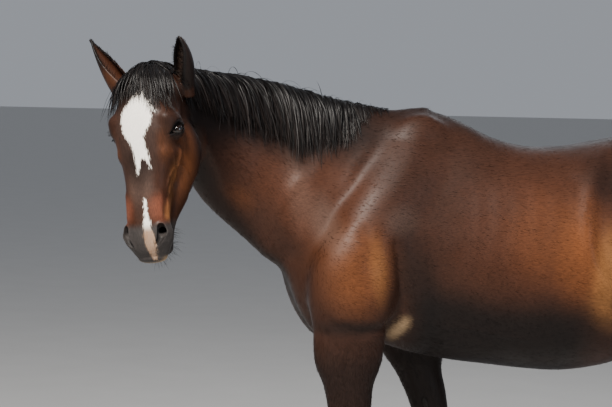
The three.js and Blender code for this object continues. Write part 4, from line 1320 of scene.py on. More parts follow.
def skin_material():
    n = Nodes("coat_on_skin")
    colour, home, lie, bare = coat_colour(n, 0.55)
    hairs = n.times(hair_noise(n, home, lie, 800, 1.0), 0.7)
    wrinkles = n.times(n.noise(home, 420.0, detail=3.0), n.times(bare, 0.8))
    bump = n.bump(n.plus(hairs, wrinkles), 0.32, 0.0006)
    patches = n.math("SUBTRACT", n.noise(home, 14.0, detail=3.0), 0.5)
    rough = n.plus(n.line(patches, 0.28, 0.47), n.times(bare, 0.10))
    return n.finish(Base_Color=colour, Roughness=rough, Normal=bump, **COAT_GLOSS)


# ---- Skin ----
SKIN_LOW, SKIN_HIGH = np.array([(-1230, -345, 30), (1330, 345, 1985)], float)
HEAD_LOW, HEAD_HIGH = np.array([(-1215, -220, 1150), (-820, 220, 1975)], float)
SKIN_PARTS = ("trunk", "neck", "head", "ear", "foreleg", "hindleg")
LID_EDGE, NOSTRIL_EDGE, LEG_EDGE = 2.6, 3.2, 14  # the longest edges round the lids and so on
RELAX_SHARE = 0.4


def edge_limit(x, y, z):
    """How long the skin's edges may be at a place."""
    side = np.abs(y)
    _, _, out, r = eye_local(x, side, z)
    lids = (out > 0) & (r < 36) & (x < -800)
    nostrils = (np.abs(NOSTRIL(x, side, z)) < 6) & (x < -900)
    return np.select([lids, nostrils, z < 560], [LID_EDGE, NOSTRIL_EDGE, LEG_EDGE], 99)


def make_skin():
    points, faces = skin_surface(skin_field, SKIN_LOW, SKIN_HIGH, HEAD_LOW, HEAD_HIGH)
    points = settle(skin_field, points)
    for _ in range(2):
        points = settle(skin_field, relax(points, faces, RELAX_SHARE), passes=1)
    for _ in range(2):
        points, faces = split_long(points, faces, edge_limit)
        points = settle(skin_field, points, passes=1, most=1.5)
    obj = make_mesh("skin", to_frame(points), faces)
    give_coat(obj, points)
    nodes = [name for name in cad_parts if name.split("_")[0] in SKIN_PARTS]
    place(obj, skin_material(), "coat", *[name for name in nodes if not name.endswith("hoof")])
    return points, faces


skin_points, skin_faces = make_skin()

# ---- Locks of long hair, grown on the straight horse ----
rng = np.random.default_rng(7)
GRAVITY = np.array([0.0, 0.0, -1.0])
LOCK_CROWN, LOCK_TAPER, LOCK_TIP, LOCK_ROLL = 0.6, 1.6, 0.07, 0.45
PATCH = 0.003  # the size of a tuft's patch on its bake map


def normalised(vectors):
    return vectors / np.maximum(np.linalg.norm(vectors, axis=-1, keepdims=True), 1e-9)


def grow(roots, aim, length, segments, droop, clear, sway):
    """Paths from the roots that start along aim, fall under their weight and stay off the skin."""
    step = (length / segments)[:, None]
    turn = normalised(aim)
    path = [roots]
    drift = rng.normal(0, sway, roots.shape)
    for i in range(segments):
        turn = normalised(turn * (1 - droop) + GRAVITY * droop + drift * (i / segments))
        p = path[-1] + turn * step
        value, slope = gradient(flesh, *p.T, h=1.0)
        push = np.maximum(clear * min(1, (i + 1) / 3) - value, 0)[:, None] * normalised(slope)
        turn = normalised(p + push - path[-1])
        path.append(path[-1] + turn * step)
    return np.stack(path, 1)


def locks(paths, width):
    """Ribbons along the paths with a raised middle, and each point's lock, share of length and edge."""
    count, rows = paths.shape[:2]
    t = np.linspace(0, 1, rows)
    along = normalised(np.gradient(paths, axis=1))
    _, slope = gradient(flesh, *paths.reshape(-1, 3).T, h=2.0)
    across = normalised(np.cross(along, normalised(slope).reshape(paths.shape)))
    roll = rng.normal(0, LOCK_ROLL, (count, 1, 1))
    out = np.cross(across, along)
    across, out = across * np.cos(roll) + out * np.sin(roll), out * np.cos(roll) - across * np.sin(roll)
    half = (width[:, None] * 0.5 * (1 - (1 - LOCK_TIP) * t**LOCK_TAPER))[:, :, None]
    points = np.stack([paths - across * half, paths + out * half * LOCK_CROWN, paths + across * half], 2)
    index = np.arange(count * rows * 3).reshape(count, rows, 3)
    faces = np.stack([index[:, :-1, :-1], index[:, :-1, 1:], index[:, 1:, 1:], index[:, 1:, :-1]], -1)
    lock = np.repeat(np.arange(count), rows * 3)
    share = np.tile(np.repeat(t, 3), count)
    edge = np.tile([-1.0, 0.0, 1.0], count * rows)
    return points.reshape(-1, 3), faces.reshape(-1, 4), lock, share, edge


def fill_square(values):
    """Values scaled to run from just over 0 to just under 1."""
    low, high = values.min(), values.max()
    return PATCH + (values - low) / (high - low) * (1 - 2 * PATCH)


def give_bake_map(obj, unwrapped, tuft, share, edge):
    """Each tuft is a small patch at its root's place on an unwrap of the skin."""
    corner = np.empty(len(obj.data.loops), np.int32)
    obj.data.loops.foreach_get("vertex_index", corner)
    root_uv = np.stack([fill_square(values) for values in unwrapped], 1)
    uv = root_uv[tuft] + np.stack([edge, share * 2 - 1], 1) * PATCH / 2
    layer = obj.data.uv_layers.new(name="OFBake")
    layer.data.foreach_set("uv", np.clip(uv, 0, 1)[corner].astype(np.float32).ravel())


def hair_material(name, root_colour, tip_colour, roughness, sheen):
    n = Nodes(name)
    share, own = n.attribute("place"), n.attribute("own")
    fibres = n.noise(n.attribute("strand", "Vector"), 1.0, (9, 1.2, 1), 3.0)
    colour = n.blend(n.times(n.times(share, share), own), root_colour, tip_colour)
    light = n.plus(n.times(n.spread(fibres, 0.3, 0.7), 0.9), n.times(own, 0.6))
    return n.finish(
        Base_Color=n.scaled(colour, n.plus(light, 0.35)),
        Roughness=n.line(fibres, 0.22, roughness),
        Normal=n.bump(fibres, 0.5, 0.0007),
        Specular_IOR_Level=0.17,
        Sheen_Weight=sheen,
        Sheen_Roughness=0.3,
        Sheen_Tint=(0.75, 0.82, 1.0),
    )


def make_locks(name, paths, width, unwrapped, material, *replaced):
    points, faces, lock, share, edge = locks(paths, width)
    obj = make_mesh(name, to_frame(points), faces)
    own = rng.random(len(paths))
    give(obj, "place", share)
    give(obj, "own", own[lock])
    give(obj, "strand", np.stack([edge + own[lock] * 40, share * 3, own[lock] * 90], 1))
    give_bake_map(obj, unwrapped, lock, share, edge)
    place(obj, material, "long_hair", *replaced)


MANE_LOCKS, FORELOCK_LOCKS, TAIL_LOCKS = 3900, 620, 1700
MANE_FRONT, MANE_REAR = -905, -110
MANE_THINNING = 190  # the stretch before its rear end where the mane thins out
MANE_CLUMP = 26  # tips gather in tufts this far apart
MANE_LENGTHS = [
    (-905, 120),
    (-800, 145),
    (-680, 165),
    (-600, 190),
    (-530, 212),
    (-440, 222),
    (-360, 204),
    (-290, 150),
    (-220, 80),
    (-170, 46),
    (-110, 26),
]
NECK_TOP = np.array(NECK_SECTIONS[::-1])[:, :2].T
FORELOCK_HALF = 38
DOCK_RINGS = [  # x and z of its middle, how far it leans back in radians, and its radius
    (1160, 1482, 0.10, 25),
    (1215, 1468, 0.35, 24),
    (1258, 1430, 0.80, 22),
    (1288, 1370, 1.20, 18),
    (1303, 1290, 1.45, 13),
]
TAIL_TUCK = 34  # how far the falling tail hangs in from where the locks leave the dock


def make_mane(material):
    n, segments = MANE_LOCKS, 11
    x = rng.uniform(MANE_FRONT - MANE_THINNING / 2, MANE_REAR - MANE_THINNING, n)
    x = np.abs(x + rng.uniform(0, MANE_THINNING, n) - MANE_FRONT) + MANE_FRONT
    thin = ramp(x, MANE_REAR - MANE_THINNING, MANE_REAR)
    side = rng.normal(-2, 7, n)
    roots = settle(flesh, np.stack([x, side, np.interp(x, *NECK_TOP)], 1), passes=5, most=20)
    tuft = 1 + 0.10 * np.sin(x * 0.11) + 0.07 * np.sin(x * 0.043 + 1) + rng.normal(0, 0.08, n)
    length = np.interp(x, *zip(*MANE_LENGTHS)) * tuft * rng.uniform(0.34, 1.08, n) ** 0.5 * 1.1
    length = np.maximum(length, 12)
    aim = np.stack([rng.normal(0.12, 0.14, n), np.full(n, -0.8), rng.uniform(0.25, 0.9, n)], 1)
    stray = rng.random(n) < 0.045
    some = stray.sum()
    aim[stray] += np.stack([rng.normal(0.5, 0.5, some), rng.normal(0.4, 0.5, some), np.ones(some)], 1)
    length[stray] *= 0.5
    clear = rng.uniform(1.5, 13, n) * (1 - 0.6 * stray) * (1 - 0.8 * thin)
    aim[:, 2] -= 0.4 * thin * ~stray
    paths = grow(roots, aim, length, segments, droop=0.30, clear=clear, sway=0.05)
    to_tuft = np.round(x / MANE_CLUMP) * MANE_CLUMP - x
    paths[:, :, 0] += 0.32 * to_tuft[:, None] * np.linspace(0, 1, segments + 1) ** 1.5
    width = rng.uniform(3.2, 7.5, n) * np.where(stray, 0.3, 1) * (1 - 0.6 * thin)
    make_locks("mane_locks", paths, width, (x, np.clip(side, -20, 16)), material, "mane")


def make_forelock(material):
    n = FORELOCK_LOCKS
    side = rng.uniform(-FORELOCK_HALF, FORELOCK_HALF, n)
    along, deep = rng.uniform(-8, 14, n), rng.uniform(40, 112, n)
    x, z = head_point(along, deep)
    roots = settle(flesh, np.stack([x, side, z + 20], 1), passes=6, most=20)
    spread = side / FORELOCK_HALF
    sideways = spread * 0.75
    aim = [-0.9 + rng.normal(0, 0.1, n), sideways + rng.normal(0, 0.2, n), rng.uniform(0, 0.35, n)]
    length = (118 + 44 * np.abs(spread) ** 1.5) * rng.uniform(0.62, 1.08, n) + (deep - 40) * 0.5
    clear = rng.uniform(1.5, 12, n)
    paths = grow(roots, np.stack(aim, 1), length, 10, droop=0.22, clear=clear, sway=0.06)
    make_locks("forelock_locks", paths, rng.uniform(2.2, 5.5, n), (side, deep), material, "forelock")


def make_tail(material):
    n, segments = TAIL_LOCKS, 16
    t = rng.random(n) ** 0.8
    knots = np.linspace(0, 1, len(DOCK_RINGS))
    x, z, lean, radius = (np.interp(t, knots, values) for values in zip(*DOCK_RINGS))
    turn = rng.uniform(-math.pi, math.pi, n)
    ring = np.stack([np.cos(turn) * np.sin(lean), np.sin(turn), np.cos(turn) * np.cos(lean)], 1)
    roots = np.stack([x, np.zeros(n), z], 1) + ring * (radius - 1.5)[:, None]
    aim = np.stack([np.cos(lean), np.zeros(n), -np.sin(lean)], 1) + ring * 0.5
    bottom = rng.uniform(330, 620, n) - 90 * (rng.random(n) < 0.15)
    bottom = np.clip(bottom + 70 * np.abs(np.sin(turn)), 318, 760)
    length = (z - bottom) * np.where(t < 0.25, rng.uniform(0.25, 1, n), 1)
    wave = rng.normal(0, 1, n)[:, None]
    clear = rng.uniform(2, 8, n)
    paths = grow(roots, aim, length, segments, droop=0.34, clear=clear, sway=0.012)
    u = np.linspace(0, 1, segments + 1)
    swell = 1 + 1.25 * np.sin(np.pi * np.clip(u * 1.15, 0, 1)) - 0.15 * u
    paths[:, :, 1] = paths[:, :, 1] * swell + 5 * np.sin(u * 7 + wave) * u
    gathered = np.maximum(paths[:, :, 0] - 1314, -60) * 0.45 * u
    paths[:, :, 0] -= np.where(paths[:, :, 2] < 1250, gathered, 0) + TAIL_TUCK * smooth_step(u * 3)
    make_locks("tail_locks", paths, rng.uniform(4, 9, n), (t, turn), material, "tail")


long_hair = hair_material("long_hair", (0.0024, 0.0021, 0.0023), (0.011, 0.0065, 0.005), 0.30, 0.0)
make_mane(long_hair)
make_forelock(long_hair)
make_tail(long_hair)

# ---- Short coat: small blades that lie along the body ----
COAT_BLADES = 62000  # on each piece
BLADE_GLEAM = 0.16  # how much of its own slope a blade shows in the light
BLADE_SUNK = 0.6  # how deep its foot stands in the skin
BLADE_PLACE = np.array([0.0, 0.0, 0.5, 0.5, 1.0])
BLADE_EDGE = np.array([-1.0, 1.0, -0.9, 0.9, 0.0])
BLADE_FACES = np.array([(0, 3, 1), (0, 2, 3), (2, 4, 3)])
COAT_WAYS = np.array([(1, 0, -0.28), (0.78, 0, -0.62), (0, 0, -1)])  # back, along the neck, down
FACE_WAY, CHEEK_WAY = np.array([-FACING[0], 0, -FACING[1]]), np.array([0.75, 0, -0.65])
EAR_WAY = np.array([0.1, 0, 1.0])


def coat_lie(points, normals):
    """The way the hair points: back along the trunk, down the legs, and down and outwards on the head."""
    x, y, z = points.T
    along, deep = head_measures(x, z)
    on_head = head_share(x, z)
    backwards = ramp(deep, 40, 100)[:, None]
    head_way = FACE_WAY * (1 - backwards) + CHEEK_WAY * backwards
    head_way[:, 1] += 0.35 * np.sign(y) * ramp(along, 170, 80)
    lie = mix(lie_weights(points) @ COAT_WAYS, head_way, on_head)
    lie = mix(lie, EAR_WAY, ramp(along, 6, -4) * on_head * (np.abs(y) > 60))
    lie = lie - normals * (lie * normals).sum(1)[:, None]
    return normalised(lie + rng.normal(0, 0.10, lie.shape))


def coat_size(points):
    """Blade length and width in millimetres: least on the face and the lower legs."""
    x, y, z = points.T
    short = np.maximum(head_share(x, z, 120), 0.8 * ramp(z, 640, 440))
    fetlock = np.exp(-(((z - 205) / 26) ** 2))
    crown = ramp(np.abs(y), 26, 0) * ramp(z, 1480, 1520) * (np.abs(x - 20) < 220)
    return 15 - 9.5 * short + 9 * fetlock + 12 * crown, 1.9 - 0.9 * short


def coat_density(points):
    """0 in the nostrils, on the lids' rims and under the eyes, most on the face and the lower legs."""
    x, y, z = points.T
    side = np.abs(y)
    along, _ = head_measures(x, z)
    u, v, _, r = eye_local(x, side, z)
    lids = np.where(r < EYE_RADIUS + 14, ramp(lid_gap(u, v, r), 2, 7), 1) * (r >= EYE_RADIUS + 1)
    lips = 1 - 0.75 * ramp(along, 470, 520)
    hairy = np.where(x < FACE_FROM, lids * ramp(NOSTRIL(x, side, z), 2, 8) * lips, 1)
    return hairy * (1 + 2.2 * ramp(z, 620, 470) + 1.2 * (x < -860))


def scatter(faces, count):
    """Points on these faces of the skin, with their normals."""
    corners = skin_points[faces]
    normal = np.cross(corners[:, 1] - corners[:, 0], corners[:, 2] - corners[:, 0])
    share = np.linalg.norm(normal, axis=1) * coat_density(corners.mean(1))
    pick = rng.choice(len(faces), count, p=share / share.sum())
    a, b = np.sqrt(rng.random(count)), rng.random(count)
    parts = np.stack([1 - a, a * (1 - b), a * b], 1)
    return (corners[pick] * parts[:, :, None]).sum(1), normalised(normal[pick])


def blades(roots, normals, lie, length, width, lift):
    """Three triangles for each blade: it rises a little from the skin and ends in a point."""
    start = roots - normals * BLADE_SUNK
    half = np.cross(normals, lie) * (width / 2)[:, None]
    middle = start + lie * (length * 0.5)[:, None] + normals * (lift * 0.62)[:, None]
    tip = start + lie * length[:, None] + normals * lift[:, None]
    points = np.stack([start - half, start + half, middle - half * 0.9, middle + half * 0.9, tip], 1)
    faces = np.arange(len(roots))[:, None, None] * len(BLADE_PLACE) + BLADE_FACES
    return points.reshape(-1, 3), faces.reshape(-1, 3)


def trunk_unwrap(x, y, z):
    """Along the horse, and round it from the back to the belly."""
    middle = np.interp(x, [-1000, -500, 0, 1200], [1600, 1400, 1200, 1230])
    return x, np.arctan2(y, middle - z + 1e-6)


def head_unwrap(x, y, z):
    """Along the face and round the head. The ears lie beyond it, one above the other."""
    along, deep = head_measures(x, z)
    ear = (along < -6) & (np.abs(y) > 60)
    round_ear = np.arctan2(x + 900, np.abs(y) - 110) / 2 + np.sign(y) * math.pi / 2
    return np.where(ear, -60 + along * 0.6, along), np.where(ear, round_ear, np.arctan2(y, deep - 75))


def leg_unwrap(x, y, z):
    """Down the leg and round it. The left and the right one lie side by side."""
    fore = np.interp(z, [60, 200, 500, 1000], [-160, -125, -125, -130]) + limb_shift(y, z)
    hind = np.interp(z, [60, 200, 560, 1000], [1150, 1215, 1205, 1000])
    around = np.arctan2(x - np.where(x > MIDDLE, hind, fore), np.abs(y) - 140)
    return z, around + np.sign(y) * 3.3


def coat_material():
    n = Nodes("coat_hairs")
    colour, *_ = coat_colour(n, 0.15)
    own = n.attribute("own")
    light = n.plus(n.times(own, 0.26), n.times(n.attribute("place"), 0.14))
    shaded = n.scaled(colour, n.plus(light, 0.88))
    return n.finish(Base_Color=shaded, Roughness=n.line(own, 0.12, 0.46), **COAT_GLOSS)


def make_coat(name, faces, count, unwrap, material, slot):
    roots, normals = scatter(faces, count)
    lie = coat_lie(roots, normals)
    length, width = coat_size(roots)
    length, width = length * rng.uniform(0.65, 1.2, count), width * rng.uniform(0.7, 1.3, count)
    lift = length * rng.uniform(0.03, 0.10, count)
    points, triangles = blades(roots, normals, lie, length, width, lift)
    blade = np.repeat(np.arange(count), len(BLADE_PLACE))
    share, edge = np.tile(BLADE_PLACE, count), np.tile(BLADE_EDGE, count)
    obj = make_mesh(name, to_frame(points), triangles)
    # Shaded almost as the skin is, so that the blades give grain and no glitter.
    own_normal = np.empty(len(points) * 3, np.float32)
    obj.data.vertices.foreach_get("normal", own_normal)
    skin_normal = normalised(to_frame(roots + normals) - to_frame(roots))[blade]
    shading = normalised(skin_normal + BLADE_GLEAM * own_normal.reshape(-1, 3))
    obj.data.normals_split_custom_set_from_vertices(shading.astype(np.float32))
    give_coat(obj, roots, blade)
    give(obj, "own", rng.random(count)[blade])
    give(obj, "place", share)
    give_bake_map(obj, unwrap(*roots.T), blade, share, edge)
    place(obj, material, slot)


def make_coats():
    x, y, z = skin_points[skin_faces].mean(1).T
    head = (x < -800) & (z > 1150)
    legs = (z < 900) & ((x < 30) | (x > 740)) & (np.abs(y) > 40) & ~head
    trunk, rear = ~head & ~legs, x > 230
    material = coat_material()
    pieces = [
        ("coat_head", head, head_unwrap, "coat"),
        ("coat_front", trunk & ~rear, trunk_unwrap, "coat"),
        ("coat_rear", trunk & rear, trunk_unwrap, "coat"),
        ("coat_forelegs", legs & ~rear, leg_unwrap, "dark_coat"),
        ("coat_hindlegs", legs & rear, leg_unwrap, "dark_coat"),
    ]
    for name, where, unwrap, slot in pieces:
        make_coat(name, skin_faces[where], COAT_BLADES, unwrap, material, slot)


make_coats()

# ---- Eyes ----
IRIS_ANGLE, CORNEA_RISE, EYE_RINGS, EYE_PARTS = 0.50, 1.7, 44, 64
PUPIL_WIDTH = 1.75  # a horse's pupil is this many times wider than tall
IRIS_DARK, IRIS_BROWN, LIMBUS = (0.003, 0.002, 0.0015), (0.016, 0.0065, 0.0035), (0.004, 0.003, 0.0025)
EYE_WHITE, PUPIL = (0.045, 0.026, 0.020), (0.0035, 0.004, 0.006)


def eye_material():
    n = Nodes("eye")
    across, up, _ = n.split(n.attribute("gaze", "Vector"))
    out = n.hypot(across, up)
    pupil_size = n.hypot(n.math("DIVIDE", across, PUPIL_WIDTH), up)
    turn = n.math("ARCTAN2", up, across)
    rays = [n.times(n.math(operation, turn), 6.0) for operation in ("SINE", "COSINE")]
    fibres = n.noise(n.add("CombineXYZ", *rays, out), 2.2, (1, 1, 2.5), 3.0)
    colour = n.blend(fibres, IRIS_DARK, IRIS_BROWN)
    colour = n.blend(n.spread(out, 0.42, 0.52), colour, LIMBUS)
    colour = n.blend(n.spread(out, 0.62, 0.86), colour, EYE_WHITE)
    colour = n.blend(n.spread(pupil_size, 0.17, 0.145), colour, PUPIL)
    return n.finish(Base_Color=colour, Roughness=0.03, Specular_IOR_Level=0.5)


def from_eye(u, v, out):
    """The point at a place seen from the left eye's centre, its side counted outwards."""
    offset = u[:, None] * EYE_LATERAL + v[:, None] * EYE_UP + out[:, None] * EYE_OUT
    x, z = head_point(EYE[0] + offset[:, 0], EYE[1] + offset[:, 1])
    return np.stack([x, EYE[2] + offset[:, 2], z], 1)


def make_eye(name, side, material):
    """A ball that looks along the orbit's axis, with its cornea standing out."""
    angle = np.linspace(0, math.pi, EYE_RINGS) ** 1.25 / math.pi**0.25
    turn = np.linspace(0, 2 * math.pi, EYE_PARTS, endpoint=False)
    a, t = (values.ravel() for values in np.meshgrid(angle, turn, indexing="ij"))
    radius = EYE_RADIUS + CORNEA_RISE * np.exp(-((a / IRIS_ANGLE) ** 4))
    gaze = np.stack([np.sin(a) * np.cos(t), np.sin(a) * np.sin(t), np.cos(a)])
    faces = ring_faces(EYE_RINGS, EYE_PARTS)
    points = from_eye(*gaze * radius) * (1, side, 1)
    obj = make_mesh(name + "_ball", to_frame(points), faces if side > 0 else faces[:, ::-1])
    give(obj, "gaze", gaze.T)
    place(obj, material, "eye", name)


def make_eyes():
    material = eye_material()
    for name in [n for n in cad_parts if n.startswith("eye")]:
        make_eye(name, -1 if "left" in name else 1, material)


make_eyes()

# ---- Hooves ----
HOOF_PARTS, HOOF_ROWS = 72, 30
CORONET_FALL = 0.2 / 0.98  # how steeply the coronet falls from toe to heel
SOLE = [(0.86, 0.0), (0.80, 4.0), (0.45, 6.0), (0.30, 2.5), (0.0, 3.5)]  # share of the wall, and height
HORN_DARK, HORN_BROWN = (0.007, 0.006, 0.0055), (0.030, 0.024, 0.020)
HORN_RING, HORN_PALE = (0.042, 0.034, 0.028), (0.052, 0.044, 0.038)


def hoof_material():
    n = Nodes("hoof")
    home = n.attribute("home", "Vector")
    down = n.noise(home, 260.0, (1, 1, 0.06), 3.0)
    rings = n.noise(home, 30.0, (0.2, 0.2, 6.0))
    colour = n.blend(down, HORN_DARK, HORN_BROWN)
    colour = n.blend(n.times(n.spread(rings, 0.45, 0.7), 0.5), colour, HORN_RING)
    colour = n.blend(n.attribute("pale"), colour, HORN_PALE)
    bump = n.bump(n.plus(n.times(down, 0.5), rings), 0.35, 0.0008)
    return n.finish(Base_Color=colour, Roughness=n.line(down, 0.25, 0.36), Normal=bump)


def hoof_outline(angle, z):
    """A point on the wall: the toe leads towards -x."""
    toe, heel, half = (np.interp(z, HOOF_LEVELS[:, 0], HOOF_LEVELS[:, i]) for i in (1, 2, 3))
    c = np.cos(angle)
    return np.where(c > 0, heel * np.abs(c) ** 0.8, -toe * np.abs(c)), half * np.sin(angle)


def hoof_wall(centre_x, coronet_x):
    """The wall's points about the hoof's centre, with rings of growth and a lip under the coronet."""
    angle = np.linspace(0, 2 * math.pi, HOOF_PARTS, endpoint=False)
    level = np.linspace(0, 1, HOOF_ROWS)[:, None]
    top = np.full(HOOF_PARTS, float(HOOF_HEIGHT))
    for _ in range(4):
        x, _ = hoof_outline(angle, top)
        top = HOOF_HEIGHT - 0.3 + CORONET_FALL * (centre_x + x - coronet_x)
    z = level * top
    x, y = hoof_outline(np.broadcast_to(angle, z.shape), z)
    lip = ramp(level, 0.9, 1)
    grown = 0.45 * np.sin(level * 34 + 0.6 * np.sin(angle * 2)) * (1 - lip)
    size = 1 - 0.012 - (grown + 0.5) / 60 - 0.17 * lip**2 - 0.02 * ramp(level, 0.03, 0)
    heel_cleft = np.exp(-((np.minimum(angle, 2 * math.pi - angle) / 0.22) ** 2))
    return np.stack([x * size - heel_cleft * 9 * (1 - 0.4 * level), y * size, z], -1), level


def make_hoof(name, x, y, coronet_x, material):
    wall, level = hoof_wall(x, coronet_x)
    sole = [wall[0] * (share, share, 0) + (0, 0, height) for share, height in SOLE[::-1]]
    cap = [wall[-1] * (share, share, 1) for share in (0.6, 0.0)]
    grid = np.concatenate([sole, wall, cap])
    points = grid.reshape(-1, 3) + (x, y, 0)
    faces = ring_faces(len(grid), HOOF_PARTS)[:, [0, 3, 2, 1]]
    obj = make_mesh(name + "_horn", (points + OFFSET) * MM, faces)
    pale = np.zeros(grid.shape[:2])
    pale[len(sole) : -len(cap)] = ramp(level, 0.86, 0.96) * 0.7
    give(obj, "home", points * MM)
    give(obj, "pale", pale.ravel())
    place(obj, material, "hoof", name + "_hoof")


def make_hooves():
    material = hoof_material()
    for name, (x, y, coronet_x) in HOOVES.items():
        moved = hoof_shift(y) if x < MIDDLE else 0
        make_hoof(name, x + moved, y, coronet_x + moved, material)


make_hooves()

# ---- Lashes, whiskers, ear hair and the horny chestnuts ----
LASHES, WHISKERS, EAR_HAIRS = 170, 190, 300  # on both eyes, on the muzzle and on each ear
CHESTNUT_SPOTS = [(-150, 650, 27, 11), (1180, 470, 20, 8)]  # x and z on the leg, half height, half width
CHESTNUT_ROWS, CHESTNUT_PARTS, CHESTNUT_THICK = 7, 22, 3.4
CHESTNUT_DARK, CHESTNUT_PALE = (0.006, 0.005, 0.0045), (0.016, 0.012, 0.010)


def make_hairs(name, roots, aim, length, width, droop, material, segments=5):
    """Fine hairs as narrow locks, all of one width, away from the long hair's weight."""
    step = (length / segments)[:, None]
    turn, path = normalised(aim), [roots]
    for _ in range(segments):
        turn = normalised(turn + GRAVITY * droop)
        path.append(path[-1] + turn * step)
    widths = np.full(len(roots), width)
    make_locks(name, np.stack(path, 1), widths, (roots[:, 0], roots[:, 1]), material)


def make_lashes(material):
    u = rng.uniform(-0.86, 0.86, LASHES) * LID_HALF
    on_upper = rng.random(LASHES) < 0.72
    upper, lower = lid_edges(u)
    v = np.where(on_upper, upper + 0.6, lower - 0.6)
    out = np.sqrt(np.maximum((EYE_RADIUS + 2.2) ** 2 - u**2 - v**2, 1))
    root = from_eye(u, v, out)
    aim = from_eye(u * 1.25, v + np.where(on_upper, 3, -5), out + np.where(on_upper, 10, 7)) - root
    length = np.where(on_upper, rng.uniform(13, 21, LASHES), rng.uniform(5, 9, LASHES))
    flip = np.ones((LASHES, 3))
    flip[:, 1] = np.where(rng.random(LASHES) < 0.5, -1, 1)
    make_hairs("lashes", root * flip, aim * flip, length, 0.8, 0.10, material)


def make_whiskers(material):
    x, z = head_point(rng.uniform(440, 528, WHISKERS), rng.uniform(66, 138, WHISKERS))
    side = rng.uniform(-1, 1, WHISKERS) * 46
    roots = settle(flesh, np.stack([x, side, z], 1), passes=8, most=20)
    _, slope = gradient(flesh, *roots.T)
    length = rng.uniform(12, 46, WHISKERS)
    aim = normalised(slope) + rng.normal(0, 0.25, roots.shape)
    make_hairs("whiskers", roots, aim, length, 0.7, 0.07, material)


def make_ear_hair(material):
    roots, aims = [], []
    for ear in EARS.values():
        h = rng.uniform(0.04, 0.80, EAR_HAIRS)
        rim = ear_opening(h) * np.where(rng.random(EAR_HAIRS) < 0.5, -1, 1)
        radius = ear_radius(ear, h) - EAR_WALL / 2
        arc = radius * np.cos(rim) - ear_bow(ear, h)
        local = np.stack([arc, radius * np.sin(rim), h * EAR_LENGTH, np.ones(EAR_HAIRS)], 1)
        turned = ear_frame(ear)
        roots.append((local @ turned.T)[:, :3])
        up = rng.uniform(0.5, 1.1, EAR_HAIRS)
        inwards = np.stack([np.full(EAR_HAIRS, -0.9), -0.55 * np.sign(rim), up], 1)
        aims.append((inwards + rng.normal(0, 0.22, inwards.shape)) @ turned[:3, :3].T)
    length = rng.uniform(9, 24, len(EARS) * EAR_HAIRS)
    make_hairs("ear_hairs", np.concatenate(roots), np.concatenate(aims), length, 1.1, 0.0, material)


def chestnut(x, z, tall, wide, side):
    """A flat horny growth on the inner side of a leg: its points and its faces."""
    radius = np.linspace(0, 1, CHESTNUT_ROWS).repeat(CHESTNUT_PARTS)
    turn = np.tile(np.linspace(0, 2 * math.pi, CHESTNUT_PARTS, endpoint=False), CHESTNUT_ROWS)
    px = x + wide * radius * np.cos(turn) * (1 + 0.12 * np.sin(3 * turn))
    pz = z + tall * radius * np.sin(turn) * (1 + 0.08 * np.cos(2 * turn))
    if x < MIDDLE:
        px = px + limb_shift(side * LEG_SIDE, pz)
    start = np.stack([px, np.full(px.shape, side * 92.0), pz], 1)
    flat = settle(flesh, start, passes=8, most=12)
    _, slope = gradient(flesh, *flat.T)
    rise = CHESTNUT_THICK * (1 - radius**3 - (radius > 0.99)) + 0.7 * np.sin(pz * 1.1)
    faces = ring_faces(CHESTNUT_ROWS, CHESTNUT_PARTS)
    return flat + normalised(slope) * rise[:, None], faces if side > 0 else faces[:, ::-1]


def make_chestnuts():
    grown = [chestnut(*where, side) for where in CHESTNUT_SPOTS for side in (-1, 1)]
    points = np.concatenate([p for p, _ in grown])
    faces = np.concatenate([f + i * CHESTNUT_ROWS * CHESTNUT_PARTS for i, (_, f) in enumerate(grown)])
    obj = make_mesh("leg_chestnuts", to_frame(points), faces)
    give(obj, "home", points * MM)
    n = Nodes("chestnut_horn")
    grain = n.noise(n.attribute("home", "Vector"), 300.0)
    colour = n.blend(grain, CHESTNUT_DARK, CHESTNUT_PALE)
    place(obj, n.finish(Base_Color=colour, Roughness=0.7, Specular_IOR_Level=0.2), "hoof")


make_lashes(long_hair)
make_whiskers(long_hair)
make_ear_hair(hair_material("ear_hair", (0.008, 0.005, 0.004), (0.060, 0.036, 0.024), 0.35, 0.02))
make_chestnuts()

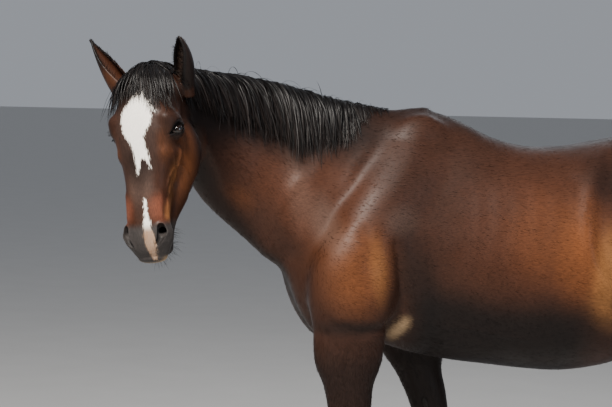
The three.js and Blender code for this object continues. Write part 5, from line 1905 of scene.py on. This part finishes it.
# ---- Camera and studio: metres, from the point on the floor under the withers ----
CAMERA_TURN, CAMERA_DISTANCE, CAMERA_HEIGHT = -13.0, 6.0, 1.64
CAMERA_ASIDE, CAMERA_ROLL, CAMERA_DOWN = -0.372, 1.35, 3.294
LENS, SENSOR = 112.94, 36.0
LAMPS = [  # name, place, target, size, watts, colour
    ("key", (-2.8, -3.4, 5.2), (-0.1, 0, 1.2), 1.3, 960, (1.0, 0.95, 0.88)),
    ("fill", (3.6, -5.0, 2.6), (0, 0, 1.1), 3.0, 110, (0.88, 0.94, 1.0)),
    ("rim", (2.2, 4.6, 4.0), (0, 0, 1.2), 2.4, 22, (0.90, 0.95, 1.0)),
]
FLOOR_HALF, FLOOR_DARK, FLOOR_LIGHT = 150, (0.46, 0.455, 0.445), (0.50, 0.495, 0.485)
SKY, SKY_STRENGTH = (0.86, 0.91, 1.0, 1), 0.36


def make_camera():
    data = bpy.data.cameras.new("camera")
    data.lens, data.sensor_width = LENS, SENSOR
    camera = link("camera", data)
    a = math.radians(CAMERA_TURN)
    right, back = Vector((math.cos(a), math.sin(a), 0)), Vector((math.sin(a), -math.cos(a), 0))
    withers = Vector(OFFSET * MM)
    camera.location = withers + right * CAMERA_ASIDE + back * CAMERA_DISTANCE
    camera.location.z += CAMERA_HEIGHT
    level = Matrix((right, (0, 0, 1), back)).transposed()
    roll = Matrix.Rotation(math.radians(CAMERA_ROLL), 3, "Z")
    down = Matrix.Rotation(math.radians(-CAMERA_DOWN), 3, "X")
    camera.rotation_euler = (level @ roll @ down).to_euler()
    bpy.context.scene.camera = camera


def make_lamp(name, at, target, size, watts, colour):
    data = bpy.data.lights.new(name, "AREA")
    data.shape, data.size, data.energy, data.color = "DISK", size, watts, colour
    lamp = link(name, data)
    lamp.location = at
    lamp.rotation_euler = (Vector(at) - Vector(target)).to_track_quat("Z", "Y").to_euler()


def make_floor():
    corners = [(x * FLOOR_HALF, y * FLOOR_HALF, 0) for x, y in ((-1, -1), (1, -1), (1, 1), (-1, 1))]
    floor = make_mesh("floor", np.array(corners), np.array([[0, 1, 2, 3]]), smooth=False)
    n = Nodes("floor")
    cloudy = n.noise(n.add("TexCoord", output=3), 3.0)
    colour = n.blend(cloudy, FLOOR_DARK, FLOOR_LIGHT)
    floor.data.materials.append(n.finish(Base_Color=colour, Roughness=0.85))


def make_sky():
    world = bpy.data.worlds.new("studio")
    bpy.context.scene.world = world
    world.use_nodes = True
    background = world.node_tree.nodes["Background"]
    background.inputs["Color"].default_value = SKY
    background.inputs["Strength"].default_value = SKY_STRENGTH


make_camera()
make_floor()
for lamp_facts in LAMPS:
    make_lamp(*lamp_facts)
make_sky()
